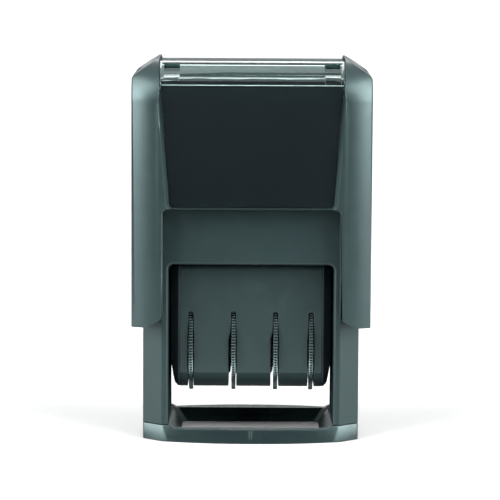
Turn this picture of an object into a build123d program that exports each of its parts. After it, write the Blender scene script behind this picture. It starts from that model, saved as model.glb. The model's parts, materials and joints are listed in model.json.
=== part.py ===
from build123d import *
import math
import os

# A self-inking date stamp. Lengths are in millimetres, X runs to the right, Y to the back and
# Z up. The stamp stands on Z = 0 with its middle over the origin.

# Clearances
RUN_GAP = 0.3          # between pieces that pass each other
SLIDE_GAP = 0.35       # between the frame and the housing that slides over it
PIN_GAP = 0.08         # radial, round a pin that turns
SEAT_GAP = 0.05        # between pieces that rest on each other
PAPER_GAP = 0.1        # printing face above the floor when the housing is down
PAD_GAP = 0.2          # printing face below the pad at rest
OVER = 1.0             # how far a cut runs past the face it opens
NEAR = 0.01            # places closer than this are the same

# Upper housing
HOUSING_W = 52.25
HOUSING_D = 34.0
HOUSING_WALL = 1.1
SIDE_GAP = 1.225       # room between the housing's sides and the frame's
SIDE_RECESS = 1.7      # how far the front falls back from the middle to the sides
CROWN_R = 9.0          # rounding from the front to the top
CROWN_STEPS = 5
SHOULDER_X = 5.6       # sloped corners of the top
SHOULDER_Z = 3.7
SHOULDER_R = 1.0
CORE_WALL = 1.4        # wall behind the window
WING_CLEAR = 3.6       # room left under the wings when the housing is down
WING_SLANT_X = 3.4     # slanted foot of the wings
WING_SLANT_Z = 1.9
WING_R = 1.2           # rounded inner corner of the wings
CUTOUT_LESS = 0.6      # the cut-out between the wings is narrower than the frame's front
HOUSING_LAP = 2.1      # how far the housing reaches down over the frame's rim
LIP_H = 0.4            # rim under the window
POCKET_INSET = 1.5     # the window's lower corners, in from the wings
POCKET_SPLAY = 2.6     # how much wider the window is at the top, each side
POCKET_BEVEL = 0.7     # bevel beside the window
POCKET_SILL = 0.15     # bevel under the window
POCKET_R = 1.0

# Clear cover and cards
COVER_T = 1.2
COVER_RECESS = 0.7
CARD_T = 0.25
CARD_SPACE = 0.35
CARD_TURN = 0.4        # how far the card follows the cover's lower bevel, in height
BEVEL_LOW = 5.5        # the three creases of the cover, below the housing's top
BEVEL_MID = 4.4
BEVEL_HIGH = 3.2
BEVEL_IN = 0.45        # how far the middle crease lies behind the lower one
BEVEL_STEP = 2.9       # how far the upper crease lies behind the lower one
BEVEL_TOP = 8.6        # how far the flat top begins behind the front
SADDLE_END = 5.0       # the cover's side view runs this far below the window
CLIP_W = 3.4
CLIP_D = 2.0
CLIP_BACK = 6.8        # clip slots behind the cover's front
CLIP_RISE = 0.35       # clip blocks stand out of the lower bevel
CLIP_INSET = 1.2       # clips, in from the cover's ends

# Press stroke and flip
STROKE = 18.5
FACE_REACH = 12.0      # from the flip axis to the printing face
PIVOT_R = 1.5
CAM_REACH = 6.5        # from the flip axis to the control pin
CAM_R = 1.0
CAM_GAP = 0.25
CAM_STEPS = 3

# Lower frame
COLUMN_W = 5.7
FRAME_WALL = 1.5
FACET_X = 4.2
FACET_Y = 3.5
HEAD_DROP = 0.4        # the panels' lower edge below the top of the carriage
WINDOW_R = 1.2
WINDOW_BEVEL = 0.4
ROOF_T = 1.5
RIM_H = 3.5
RAIL_W = 1.7
RAIL_T = 1.4
GROOVE_W = 11.8
GROOVE_DEPTH = 0.8

# Foot frame
FOOT_BAR_H = 3.1
FOOT_SEAT_H = 3.7
FOOT_BULGE = 2.8
FOOT_BAR_T = 0.6       # the bars at their ends, at the top
FOOT_FUNNEL_X = 2.6    # how much the opening narrows downwards, each side
FOOT_FUNNEL_Y = 1.5
FOOT_LEDGE = 0.1
FOOT_CORNER = 1.1
FOOT_RAMP = 2.0        # run of the ramp beside a bar for each unit of its rise
PEG_H = 3.0
PEG_D = 8.0
MARK_W = 0.5
MARK_H = 1.9
MARK_DEPTH = 0.3

# Ink tray and pad
TRAY_H = 5.2
TRAY_FLOOR = 1.4
TRAY_RIM = 2.6
PAD_PROUD = 0.5
GRIP_COUNT = 9         # grooves across the tray's grip
GRIP_PITCH = 2.9
GRIP_W = 1.0
GRIP_DEPTH = 0.5
GRIP_EDGE = 1.0

# Carriage
CARRIAGE_GAP = 0.35
CHEEK_T = 2.05
CHEEK_BEVEL = 1.7
CHEEK_DRAFT = 1.1      # the cheeks lean in towards their lower end
CHEEK_DRAFT_H = 6.4
SHELL_T = 1.3
SHELL_R = 4.0
SHELL_TOP_R = 2.0
HEAD_SHOW = 3.0        # how far the bands stand out of the carriage cover
SLOT_TOP_DROP = 2.2    # the slots' upper ends below the flip axis
SLOT_NARROW = 1.1
SLOT_TAPER = 4.5
SLOT_FLARE = 1.5
SLOT_END_R = 0.5

# Wheels, shaft and bands
WHEEL_R = 11.0
WHEEL_T = 0.9
WHEEL_DROP = 10.0      # wheel axis below the flip axis
WHEEL_SHOW = 1.6       # how far the wheels stand out of the carriage cover
WHEEL_AT = (-0.422, -0.122, 0.174, 0.424)                # places along the carriage cover
WHEEL_SIDES = ((0.2, 0.2), (0.6, 0.2), (0.6, 0.2), (0.3, 0.2))   # room left and right in the slots
KNURL_TEETH = 42
KNURL_H = 0.3
HUB_R = 6.0
HUB_SIDES = 12         # flats that grip the band
COLLAR_R = 7.4
COLLAR_GAP = 0.1       # between a collar and the next hub
SHAFT_R = 1.25
SHAFT_SEAT = 1.0
BAND_T = 0.7
TYPE_H = 0.8
TYPE_ROOT = 0.4        # how deep a type block is sunk into its band
TYPE_L = 4.0
TYPE_SHORT = 2.4       # type blocks off the printing face
TYPE_COUNT = 12
BAND_SIDE = 0.15
BRIDGE_D = 4.8
BRIDGE_R = 1.0
BRIDGE_H = 4.0

# Yoke and return spring
YOKE_BAR_T = 2.0
YOKE_D = 14.0
ARM_D = 9.0
SPIGOT_H = 3.0
SPRING_R = 6.0
SPRING_WIRE = 0.9
WIRE_SIDES = 4
SPRING_TURNS = 5
SPRING_DOWN = 9.55     # the spring's length when the housing is down
SEAT_RING_H = 1.6
SEAT_RING_T = 1.2

# Lock buttons
BUTTON_L = 9.0
BUTTON_H = 6.0
BUTTON_GAP = 0.2
BUTTON_SUNK = 0.2
RIDGE_W = 0.6          # grooves across a button
RIDGE_DEPTH = 0.3
RIDGE_EDGE = 0.8
FLANGE_T = 0.5
FLANGE_EDGE = 0.8
NOSE_W = 4.0
NOSE_H = 2.4
NOTCH_DROP = 2.0       # the lock notch below the button at rest

# Sizes that follow from the ones above
FRAME_W = HOUSING_W - 2 * (HOUSING_WALL + SIDE_GAP)
COVER_DEPTH = COVER_RECESS + COVER_T + CARD_SPACE
FRAME_D = HOUSING_D - 2 * (COVER_DEPTH + CORE_WALL + SLIDE_GAP)
WINDOW_W = FRAME_W - 2 * COLUMN_W
CARRIAGE_W = WINDOW_W - 2 * CARRIAGE_GAP
SHELL_W = CARRIAGE_W - 2 * CHEEK_T
SHELL_D = 2 * (WHEEL_R - WHEEL_SHOW)
PIVOT_Z = STROKE + FACE_REACH + PAPER_GAP
FACE_Z = PIVOT_Z + FACE_REACH
WHEEL_Z = PIVOT_Z - WHEEL_DROP
SHELL_Z0 = WHEEL_Z - WHEEL_R + WHEEL_SHOW
SHELL_Z1 = FACE_Z - HEAD_SHOW
WINDOW_HEAD_Z = SHELL_Z1 - HEAD_DROP
PAD_Z = FACE_Z + PAD_GAP
TRAY_Z0 = PAD_Z + PAD_PROUD
TRAY_Z1 = TRAY_Z0 + TRAY_H
ROOF_Z0 = TRAY_Z1 + RUN_GAP
ROOF_Z1 = ROOF_Z0 + ROOF_T
FRAME_TOP_Z = ROOF_Z1 + RIM_H
YOKE_Z0 = ROOF_Z1 + SPRING_DOWN + STROKE
CEILING_Z = YOKE_Z0 + YOKE_BAR_T
HOUSING_H = CEILING_Z + CORE_WALL + COVER_DEPTH
WING_Z = FOOT_SEAT_H + STROKE + WING_CLEAR
CUTOUT_Z = FRAME_TOP_Z - HOUSING_LAP
CUTOUT_W = FRAME_W - 2 * FACET_X - CUTOUT_LESS
POCKET_Z = CUTOUT_Z + LIP_H
ARM_X0 = WINDOW_W / 2 + FRAME_WALL + RUN_GAP
ARM_X1 = FRAME_W / 2 - FRAME_WALL - RUN_GAP
BUTTON_Z = CUTOUT_Z - BUTTON_H
TRAY_W = WINDOW_W - 2 * RUN_GAP
WHEEL_X = [share * SHELL_W for share in WHEEL_AT]


def block(x0, x1, y0, y1, z0, z1):
    """A block given by its six sides."""
    return Pos((x0 + x1) / 2, (y0 + y1) / 2, (z0 + z1) / 2) * Box(x1 - x0, y1 - y0, z1 - z0)


def sided(side, x0, x1, y0, y1, z0, z1):
    """A block at the right for side 1, and its mirror image at the left for side -1."""
    return block(min(side * x0, side * x1), max(side * x0, side * x1), y0, y1, z0, z1)


def polygon(points):
    """A flat face with straight sides."""
    return make_face(Polyline(*points, close=True))


def along_x(face, x0, x1):
    """A face drawn in (y, z), drawn out from x0 to x1."""
    return extrude(Plane.YZ.offset(x0) * face, x1 - x0)


def along_y(face, y0, y1):
    """A face drawn in (x, z), drawn out from y0 to y1."""
    return extrude(Plane.XZ.offset(-y1) * face, y1 - y0)


def along_z(face, z0, z1):
    """A face drawn in (x, y), drawn out from z0 to z1."""
    return extrude(Plane.XY.offset(z0) * face, z1 - z0)


def rod(radius, x0, x1, y, z):
    """A round rod along X."""
    return along_x(Pos(y, z) * Circle(radius), x0, x1)


def rounded_top(width, z0, z1, radius):
    """An upright rectangle with its two upper corners rounded."""
    face = Pos(0, (z0 + z1) / 2) * Rectangle(width, z1 - z0)
    return fillet(face.vertices().group_by(Axis.Y)[-1], radius)


def frame_outline():
    """Plan of the lower frame: a rectangle with its four corners cut to facets."""
    hx = FRAME_W / 2
    hy = FRAME_D / 2
    corners = [(hx - FACET_X, -hy), (hx, FACET_Y - hy), (hx, hy - FACET_Y), (hx - FACET_X, hy)]
    return polygon(corners + [(-x, -y) for x, y in corners])


def bowed_outline(hx, hy, cut_x, cut_y, bulge):
    """Plan of the foot: a rectangle with cut corners whose front and back bow outwards."""
    edges = []
    for s in (-1, 1):
        edges.append(Line((s * hx, cut_y - hy), (s * hx, hy - cut_y)))
        edges.append(ThreePointArc((cut_x - hx, s * hy), (0, s * (hy + bulge)), (hx - cut_x, s * hy)))
        for t in (-1, 1):
            edges.append(Line((s * hx, t * (hy - cut_y)), (s * (hx - cut_x), t * hy)))
    return make_face(edges)


def cam_point(turn):
    """Place of the control pin and its direction of travel after a part of the carriage's half turn."""
    angle = math.pi * turn
    spot = Vector(-CAM_REACH * math.sin(angle), PIVOT_Z - STROKE * turn + CAM_REACH * math.cos(angle))
    heading = Vector(-CAM_REACH * math.cos(angle), -STROKE / math.pi - CAM_REACH * math.sin(angle))
    return spot, heading.normalized()


def biarc(start, heading, end, arrival):
    """Two arcs that join two points with given directions and share a tangent where they meet."""
    chord = end - start
    along = chord.dot(heading + arrival)
    bend = 2 * (1 - heading.dot(arrival))
    reach = (math.sqrt(along ** 2 + bend * chord.dot(chord)) - along) / bend
    first = start + heading * reach
    second = end - arrival * reach
    middle = (first + second) * 0.5
    return [TangentArc(start, middle, tangent=heading), TangentArc(middle, end, tangent=second - first)]


def cam_face():
    """Track of the control pin while the carriage turns half round and the housing goes down."""
    half = CAM_R + CAM_GAP
    arcs = []
    for i in range(CAM_STEPS):
        arcs += biarc(*cam_point(i / CAM_STEPS), *cam_point((i + 1) / CAM_STEPS))
    track = trace(Wire(arcs), 2 * half)
    for turn in (0, 1):
        track += Pos(cam_point(turn)[0]) * Circle(half)
    return track


def pivot_face():
    """Upright slot for the flip pivot."""
    half = PIVOT_R + PIN_GAP
    low = PIVOT_Z - STROKE - RUN_GAP
    high = PIVOT_Z + RUN_GAP
    slot = Pos(0, (low + high) / 2) * Rectangle(2 * half, high - low)
    for z in (low, high):
        slot += Pos(0, z) * Circle(half)
    return slot


def lower_frame():
    """Two hollow columns joined by a front panel, a back panel and a roof over the ink pad."""
    hx = FRAME_W / 2
    hy = FRAME_D / 2
    win = WINDOW_W / 2
    inner_y = hy - FRAME_WALL
    body = along_z(frame_outline(), FOOT_SEAT_H, FRAME_TOP_Z)
    window = rounded_top(WINDOW_W, FOOT_SEAT_H - OVER, WINDOW_HEAD_Z, WINDOW_R)
    body -= along_y(window, -hy - OVER, hy + OVER)
    body -= block(-win, win, -inner_y, inner_y, WINDOW_HEAD_Z - 2 * OVER, ROOF_Z0)
    body -= block(-win, win, -inner_y, inner_y, ROOF_Z1, FRAME_TOP_Z + OVER)
    slot = Pos(0, (TRAY_Z0 + TRAY_Z1) / 2) * Rectangle(TRAY_W + 2 * RUN_GAP, TRAY_H + 2 * RUN_GAP)
    body -= along_y(slot, inner_y - OVER, hy + OVER)
    cavity_y = hy - FACET_Y - RUN_GAP
    top = FRAME_TOP_Z + OVER
    for s in (-1, 1):
        cavity_x = win + FRAME_WALL
        body -= sided(s, cavity_x, hx - FRAME_WALL, -cavity_y, cavity_y, FOOT_SEAT_H - OVER, top)
        x0, x1 = sorted((s * (win - OVER), s * (cavity_x + OVER)))
        body -= along_x(pivot_face(), x0, x1)
        body -= along_x(cam_face(), x0, x1)
        groove_z = WING_Z - STROKE - RUN_GAP
        body -= sided(s, hx - GROOVE_DEPTH, hx + OVER, -GROOVE_W / 2, GROOVE_W / 2, groove_z, top)
        notch_z = BUTTON_Z - NOTCH_DROP
        notch_y = NOSE_W / 2 + RUN_GAP
        notch_h = NOSE_H / 2 + RUN_GAP
        notch_x = hx - FRAME_WALL - OVER
        body -= sided(s, notch_x, hx, -notch_y, notch_y, notch_z - notch_h, notch_z + notch_h)
        rail_z = TRAY_Z0 - SEAT_GAP
        body += sided(s, win - RAIL_W, win, -inner_y, inner_y, rail_z - RAIL_T, rail_z)
    ring_r = SPRING_R + SPRING_WIRE / 2 + RUN_GAP
    ring = Circle(ring_r + SEAT_RING_T) - Circle(ring_r)
    body += along_z(ring, ROOF_Z1, ROOF_Z1 + SEAT_RING_H)
    on_window = (
        lambda e: abs(abs(e.center().X) - win) < NEAR
        and abs(abs(e.center().Y) - hy) < NEAR
        and e.center().Z < WINDOW_HEAD_Z
    )
    return chamfer(body.edges().filter_by(Axis.Z).filter_by(on_window), WINDOW_BEVEL)


def opening_outline(hx, hy):
    """Plan of the foot's opening: a rectangle with cut corners."""
    corners = [
        (hx - FOOT_CORNER, -hy), (hx, FOOT_CORNER - hy), (hx, hy - FOOT_CORNER), (hx - FOOT_CORNER, hy),
    ]
    return polygon(corners + [(-x, -y) for x, y in corners])


def foot_frame():
    """Low ring with bowed bars, a funnel-shaped opening and a peg for each column."""
    hx = FRAME_W / 2
    hy = FRAME_D / 2
    win = WINDOW_W / 2
    step = win - (FOOT_SEAT_H - FOOT_BAR_H) * FOOT_RAMP
    top = [(hx + OVER, 0), (hx + OVER, FOOT_SEAT_H), (win, FOOT_SEAT_H), (step, FOOT_BAR_H)]
    profile = polygon(top + [(-x, z) for x, z in reversed(top)])
    ring = along_z(bowed_outline(hx, hy, FACET_X, FACET_Y, FOOT_BULGE), 0, FOOT_SEAT_H)
    ring &= along_y(profile, -HOUSING_D, HOUSING_D)
    wide = (win - FOOT_LEDGE, hy - FOOT_BAR_T)
    narrow = (wide[0] - FOOT_FUNNEL_X, wide[1] - FOOT_FUNNEL_Y)
    ring -= loft([opening_outline(*narrow), Pos(0, 0, FOOT_SEAT_H) * opening_outline(*wide)])
    front = hy + FOOT_BULGE
    for s in (-1, 1):
        y0, y1 = sorted((s * (front - MARK_DEPTH), s * (front + OVER)))
        ring -= block(-MARK_W / 2, MARK_W / 2, y0, y1, FOOT_BAR_H - MARK_H, FOOT_BAR_H + OVER)
        x0 = win + FRAME_WALL + RUN_GAP / 2
        x1 = hx - FRAME_WALL - RUN_GAP / 2
        ring += sided(s, x0, x1, -PEG_D / 2, PEG_D / 2, FOOT_SEAT_H - OVER, FOOT_SEAT_H + PEG_H)
    return ring


def pad_half():
    """Half width and half depth of the tray's hollow."""
    inner_y = FRAME_D / 2 - FRAME_WALL
    return TRAY_W / 2 - TRAY_RIM, inner_y - RUN_GAP - TRAY_RIM


def ink_tray():
    """Tray that slides into the head of the frame from the back, with a ribbed grip."""
    inner_y = FRAME_D / 2 - FRAME_WALL
    body = block(-TRAY_W / 2, TRAY_W / 2, RUN_GAP - inner_y, FRAME_D / 2, TRAY_Z0, TRAY_Z1)
    half_x, half_y = pad_half()
    body -= block(-half_x, half_x, -half_y, half_y, TRAY_Z0 - OVER, TRAY_Z1 - TRAY_FLOOR)
    y0 = FRAME_D / 2 - GRIP_DEPTH
    for i in range(GRIP_COUNT):
        x0 = (i - (GRIP_COUNT - 1) / 2) * GRIP_PITCH - GRIP_W / 2
        body -= block(x0, x0 + GRIP_W, y0, y0 + OVER, TRAY_Z0 + GRIP_EDGE, TRAY_Z1 - GRIP_EDGE)
    return body


def ink_pad():
    """Felt in the tray, a little proud of its rim."""
    half_x, half_y = pad_half()
    half_x -= SEAT_GAP
    half_y -= SEAT_GAP
    pad = block(-half_x, half_x, -half_y, half_y, PAD_Z, TRAY_Z1 - TRAY_FLOOR - SEAT_GAP)
    return fillet(pad.edges().group_by(Axis.Z)[0], PAD_PROUD / 2)


def housing_outline(inset):
    """Plan of the housing: the front and the back fall back in arcs towards the flat sides."""
    hx = HOUSING_W / 2
    hy = HOUSING_D / 2 - inset
    flat = hy - SIDE_RECESS
    edge = CUTOUT_W / 2
    radius = ((hx - edge) ** 2 + SIDE_RECESS ** 2) / (2 * SIDE_RECESS)
    half_turn = math.asin((hx - edge) / radius) / 2
    mid_x = edge + radius * math.sin(half_turn)
    mid_y = hy - radius + radius * math.cos(half_turn)
    edges = []
    for s in (-1, 1):
        edges.append(Line((-edge, s * hy), (edge, s * hy)))
        edges.append(Line((s * hx, -flat), (s * hx, flat)))
        for t in (-1, 1):
            edges.append(ThreePointArc((s * hx, t * flat), (s * mid_x, t * mid_y), (s * edge, t * hy)))
    return make_face(edges)


def pocket_face(inset, drop):
    """Front view of the window: wider at the top, with rounded lower corners."""
    low = CUTOUT_W / 2 - POCKET_INSET - inset
    high = low + POCKET_SPLAY
    z0 = POCKET_Z + drop
    face = polygon([(-low, z0), (low, z0), (high, HOUSING_H + OVER), (-high, HOUSING_H + OVER)])
    return fillet(face.vertices().group_by(Axis.Y)[0], POCKET_R)


def saddle_face(depth):
    """Side view of what lies under the clear cover, at a depth below the cover's outside."""
    front = HOUSING_D / 2 - COVER_RECESS
    half = [
        (front, POCKET_Z - SADDLE_END),
        (front, HOUSING_H - BEVEL_LOW),
        (front - BEVEL_IN, HOUSING_H - BEVEL_MID),
        (front - BEVEL_STEP, HOUSING_H - BEVEL_HIGH),
        (front - BEVEL_TOP, HOUSING_H - COVER_RECESS),
    ]
    face = polygon(half + [(-y, z) for y, z in reversed(half)])
    return offset(face, -depth, kind=Kind.INTERSECTION) if depth else face


def housing_block():
    """Upright walls under a crown whose outline draws in along an arc at the front and the back."""
    spring_z = HOUSING_H - CROWN_R
    sections = []
    for i in range(CROWN_STEPS + 1):
        angle = math.pi / 2 * i / CROWN_STEPS
        outline = housing_outline(CROWN_R * (1 - math.cos(angle)))
        sections.append(Pos(0, 0, spring_z + CROWN_R * math.sin(angle)) * outline)
    return along_z(housing_outline(0), WING_Z, spring_z) + loft(sections, ruled=True)


def upper_housing():
    """Pressed cap: rounded crown, wings down the sides, window pocket over front, top and back."""
    hx = HOUSING_W / 2
    hy = HOUSING_D / 2
    front = polygon([
        (-hx, 0), (hx, 0), (hx, HOUSING_H - SHOULDER_Z), (hx - SHOULDER_X, HOUSING_H),
        (SHOULDER_X - hx, HOUSING_H), (-hx, HOUSING_H - SHOULDER_Z),
    ])
    shoulders = [v for v in front.vertices() if abs(v.Y - HOUSING_H + SHOULDER_Z) < NEAR]
    front = fillet(shoulders, SHOULDER_R)
    body = housing_block() & along_y(front, -hy - OVER, hy + OVER)
    inner_x = hx - HOUSING_WALL
    flat_y = FRAME_D / 2 - FACET_Y
    room = offset(frame_outline(), SLIDE_GAP, kind=Kind.INTERSECTION) + Rectangle(2 * inner_x, 2 * flat_y)
    body -= along_z(room, WING_Z - OVER, FRAME_TOP_Z + STROKE + RUN_GAP)
    yoke_x = ARM_X1 + SEAT_GAP
    yoke_y = YOKE_D / 2 + SEAT_GAP
    body -= block(-yoke_x, yoke_x, -yoke_y, yoke_y, FRAME_TOP_Z, CEILING_Z)
    pocket = along_y(pocket_face(0, 0), -hy - OVER, hy + OVER)
    body -= pocket - along_x(saddle_face(COVER_T + CARD_SPACE), -hx, hx)
    for s in (-1, 1):
        inner = Plane.XZ.offset(s * (hy - COVER_RECESS)) * pocket_face(0, 0)
        outer = Plane.XZ.offset(s * hy) * pocket_face(-POCKET_BEVEL, -POCKET_SILL)
        body -= loft([inner, outer])
    cutout = rounded_top(CUTOUT_W, WING_Z - OVER, CUTOUT_Z, POCKET_R)
    body -= along_y(cutout, -hy - OVER, hy + OVER)
    edge = CUTOUT_W / 2
    for s in (-1, 1):
        slant = [
            (s * (edge - OVER), WING_Z - OVER), (s * (edge + WING_SLANT_X), WING_Z - OVER),
            (s * (edge + WING_SLANT_X), WING_Z), (s * edge, WING_Z + WING_SLANT_Z),
            (s * (edge - OVER), WING_Z + WING_SLANT_Z),
        ]
        body -= along_y(polygon(slant), -hy - OVER, hy + OVER)
        hole_y = BUTTON_L / 2 + BUTTON_GAP
        hole_z = BUTTON_H / 2 + BUTTON_GAP
        hole_x = (inner_x - OVER, hx + OVER)
        body -= sided(s, *hole_x, -hole_y, hole_y, BUTTON_Z - hole_z, BUTTON_Z + hole_z)
        rib_x = FRAME_W / 2 - GROOVE_DEPTH + RUN_GAP
        rib_y = GROOVE_W / 2 - RUN_GAP
        rib_top = BUTTON_Z - BUTTON_H / 2 - FLANGE_EDGE - 2 * RUN_GAP
        body += sided(s, rib_x, inner_x + HOUSING_WALL / 2, -rib_y, rib_y, WING_Z, rib_top)
    on_wing = (
        lambda e: abs(abs(e.center().X) - edge) < NEAR
        and abs(e.center().Z - WING_Z - WING_SLANT_Z) < NEAR
    )
    return fillet(body.edges().filter_by(Axis.Y).filter_by(on_wing), WING_R)


def window_cover():
    """Clear saddle over the top with a plate down the front and the back."""
    half = HOUSING_W / 2
    plate = along_x(saddle_face(0) - saddle_face(COVER_T), -half, half)
    plate &= along_y(pocket_face(SEAT_GAP * 2, SEAT_GAP), -HOUSING_D, HOUSING_D)
    rim = along_x(saddle_face(-CLIP_RISE) - saddle_face(COVER_T / 2), -half, half)
    top_half = CUTOUT_W / 2 - POCKET_INSET + POCKET_SPLAY
    clip_y = HOUSING_D / 2 - COVER_RECESS - CLIP_BACK
    front = HOUSING_D / 2 - COVER_RECESS
    x0 = top_half - CLIP_W - CLIP_INSET
    z0 = HOUSING_H - BEVEL_LOW + CLIP_RISE
    for s in (-1, 1):
        for t in (-1, 1):
            y0, y1 = sorted((t * (clip_y - CLIP_D / 2), t * (clip_y + CLIP_D / 2)))
            plate -= sided(s, x0, x0 + CLIP_W, y0, y1, HOUSING_H - BEVEL_LOW, HOUSING_H)
            y0, y1 = sorted((t * (front - BEVEL_STEP), t * front))
            plate += sided(s, x0, x0 + CLIP_W, y0, y1, z0, HOUSING_H - BEVEL_HIGH) & rim
    return plate


def index_card(side):
    """Thin card behind the clear plate, at the front for side -1 and the back for side 1."""
    depth = COVER_T + SEAT_GAP
    card = along_x(saddle_face(depth) - saddle_face(depth + CARD_T), -HOUSING_W, HOUSING_W)
    y0, y1 = sorted((0, side * HOUSING_D))
    card &= along_y(pocket_face(4 * SEAT_GAP, 2 * SEAT_GAP), y0, y1)
    return card & block(-HOUSING_W, HOUSING_W, y0, y1, 0, HOUSING_H - BEVEL_LOW + CARD_TURN)


def drive_yoke():
    """Bracket under the housing's ceiling whose two arms carry the flip pivots."""
    body = block(-ARM_X1, ARM_X1, -YOKE_D / 2, YOKE_D / 2, YOKE_Z0, CEILING_Z)
    spigot = Circle(SPRING_R - SPRING_WIRE / 2 - RUN_GAP)
    body += along_z(spigot, YOKE_Z0 - SPIGOT_H, YOKE_Z0)
    arm_top = YOKE_Z0 + YOKE_BAR_T / 2
    arm = Pos(0, (PIVOT_Z + arm_top) / 2) * Rectangle(ARM_D, arm_top - PIVOT_Z)
    arm += Pos(0, PIVOT_Z) * Circle(ARM_D / 2)
    arm -= Pos(0, PIVOT_Z) * Circle(PIVOT_R + PIN_GAP)
    for s in (-1, 1):
        x0, x1 = sorted((s * ARM_X0, s * ARM_X1))
        body += along_x(arm, x0, x1)
    return body


def helix_point(turn, z0, rise):
    """Point and direction of the spring's wire after a number of turns."""
    angle = 2 * math.pi * turn
    spot = Vector(SPRING_R * math.cos(angle), SPRING_R * math.sin(angle), z0 + rise * turn)
    run = 2 * math.pi * SPRING_R
    heading = Vector(-run * math.sin(angle), run * math.cos(angle), rise).normalized()
    return spot, heading


def return_spring():
    """Coil of one unbroken wire, each half turn drawn with two arcs that share a tangent."""
    z0 = ROOF_Z1 + SPRING_WIRE / 2 + SEAT_GAP
    rise = (YOKE_Z0 - SPRING_WIRE / 2 - SEAT_GAP - z0) / SPRING_TURNS
    arcs = []
    for i in range(2 * SPRING_TURNS):
        arcs += biarc(*helix_point(i / 2, z0, rise), *helix_point((i + 1) / 2, z0, rise))
    path = Wire(arcs)
    start, heading = helix_point(0, z0, rise)
    spring = sweep(Plane(origin=start, z_dir=heading) * RegularPolygon(SPRING_WIRE / 2, WIRE_SIDES), path)
    per_turn = 40
    count = per_turn * SPRING_TURNS
    points = [path.position_at(i / count) for i in range(count + 1)]
    gap = min(
        (points[i] - points[j]).length
        for i in range(count + 1)
        for j in range(i + per_turn // 2, min(i + 3 * per_turn // 2, count + 1))
    )
    print("spring: least gap between turns", round(gap - SPRING_WIRE, 3), "mm")
    return spring


def carriage_face():
    """Side view of the carriage cover: square block with rounded corners."""
    face = Pos(0, (SHELL_Z0 + SHELL_Z1) / 2) * Rectangle(SHELL_D, SHELL_Z1 - SHELL_Z0)
    face = fillet(face.vertices().group_by(Axis.Y)[0], SHELL_R)
    return fillet(face.vertices().group_by(Axis.Y)[-1], SHELL_TOP_R)


def wheel_slot(index):
    """Front view of a wheel's slot: a narrow rounded end above a wider run."""
    top = PIVOT_Z - SLOT_TOP_DROP
    neck = SLOT_NARROW / 2
    left, right = (WHEEL_T / 2 + room for room in WHEEL_SIDES[index])
    knee = top - SLOT_TAPER
    face = polygon([
        (-neck, top), (neck, top), (neck, knee), (right, knee - SLOT_FLARE), (right, SHELL_Z0 - OVER),
        (-left, SHELL_Z0 - OVER), (-left, knee - SLOT_FLARE), (-neck, knee),
    ])
    return Pos(WHEEL_X[index], 0) * fillet(face.vertices().group_by(Axis.Y)[-1], SLOT_END_R)


def mouth_half():
    """Half width and half depth of the opening that the bands come out of."""
    return WHEEL_X[-1] + WHEEL_T, BRIDGE_D / 2 + BAND_T + TYPE_H + 2 * RUN_GAP


def carriage_shell(side):
    """Half of the carriage cover, at the front for side -1 and the back for side 1."""
    half = SHELL_W / 2
    tall = SHELL_Z1 - SHELL_Z0 - 2 * SHELL_T
    hollow = Pos(0, (SHELL_Z0 + SHELL_Z1) / 2) * Rectangle(SHELL_D - 2 * SHELL_T, tall)
    hollow = chamfer(hollow.vertices().group_by(Axis.Y)[0], (SHELL_R - SHELL_T) * (2 - math.sqrt(2)))
    shell = along_x(carriage_face() - hollow, -half, half)
    y0, y1 = sorted((0, side * SHELL_D))
    shell &= block(-half, half, y0, y1, 0, HOUSING_H)
    mouth_x, mouth_y = mouth_half()
    shell -= block(-mouth_x, mouth_x, -mouth_y, mouth_y, SHELL_Z1 - 2 * SHELL_T, SHELL_Z1 + OVER)
    for index in range(len(WHEEL_X)):
        shell -= along_y(wheel_slot(index), y0, y1)
    return shell


def cheek(side):
    """End cap of the carriage with bevelled edges, its pivot and its control pin."""
    x0 = SHELL_W / 2
    x1 = CARRIAGE_W / 2
    cap = along_x(carriage_face(), x0, x1)
    cap = chamfer(cap.faces().sort_by(Axis.X)[-1].edges(), CHEEK_BEVEL)
    draft = [
        (x1, SHELL_Z0 + CHEEK_DRAFT_H), (x1 - CHEEK_DRAFT, SHELL_Z0),
        (x1 + OVER, SHELL_Z0), (x1 + OVER, SHELL_Z0 + CHEEK_DRAFT_H),
    ]
    cap -= along_y(polygon(draft), -SHELL_D, SHELL_D)
    cap -= rod(SHAFT_R + SEAT_GAP, x0 - OVER, x0 + SHAFT_SEAT, 0, WHEEL_Z)
    cap += rod(PIVOT_R, x1 - CHEEK_T / 2, ARM_X1, 0, PIVOT_Z)
    pin_end = x1 + CARRIAGE_GAP + FRAME_WALL - RUN_GAP
    cap += rod(CAM_R, x1 - CHEEK_T / 2, pin_end, 0, PIVOT_Z + CAM_REACH)
    return cap if side > 0 else mirror(cap, about=Plane.YZ)


def wheel_shaft():
    """Steel shaft held in the two cheeks."""
    half = SHELL_W / 2 + SHAFT_SEAT - SEAT_GAP
    return rod(SHAFT_R, -half, half, 0, WHEEL_Z)


def hub_span(index):
    """Where the hub of a wheel runs along the shaft: the first lies right of its wheel, the others left."""
    rim = WHEEL_T / 2
    halfway = (WHEEL_X[0] + WHEEL_X[1]) / 2
    if index == 0:
        return WHEEL_X[0] + rim, halfway - RUN_GAP / 2
    if index == 1:
        return halfway + RUN_GAP / 2, WHEEL_X[1] - rim
    return WHEEL_X[index - 1] + rim + RUN_GAP, WHEEL_X[index] - rim


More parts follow.
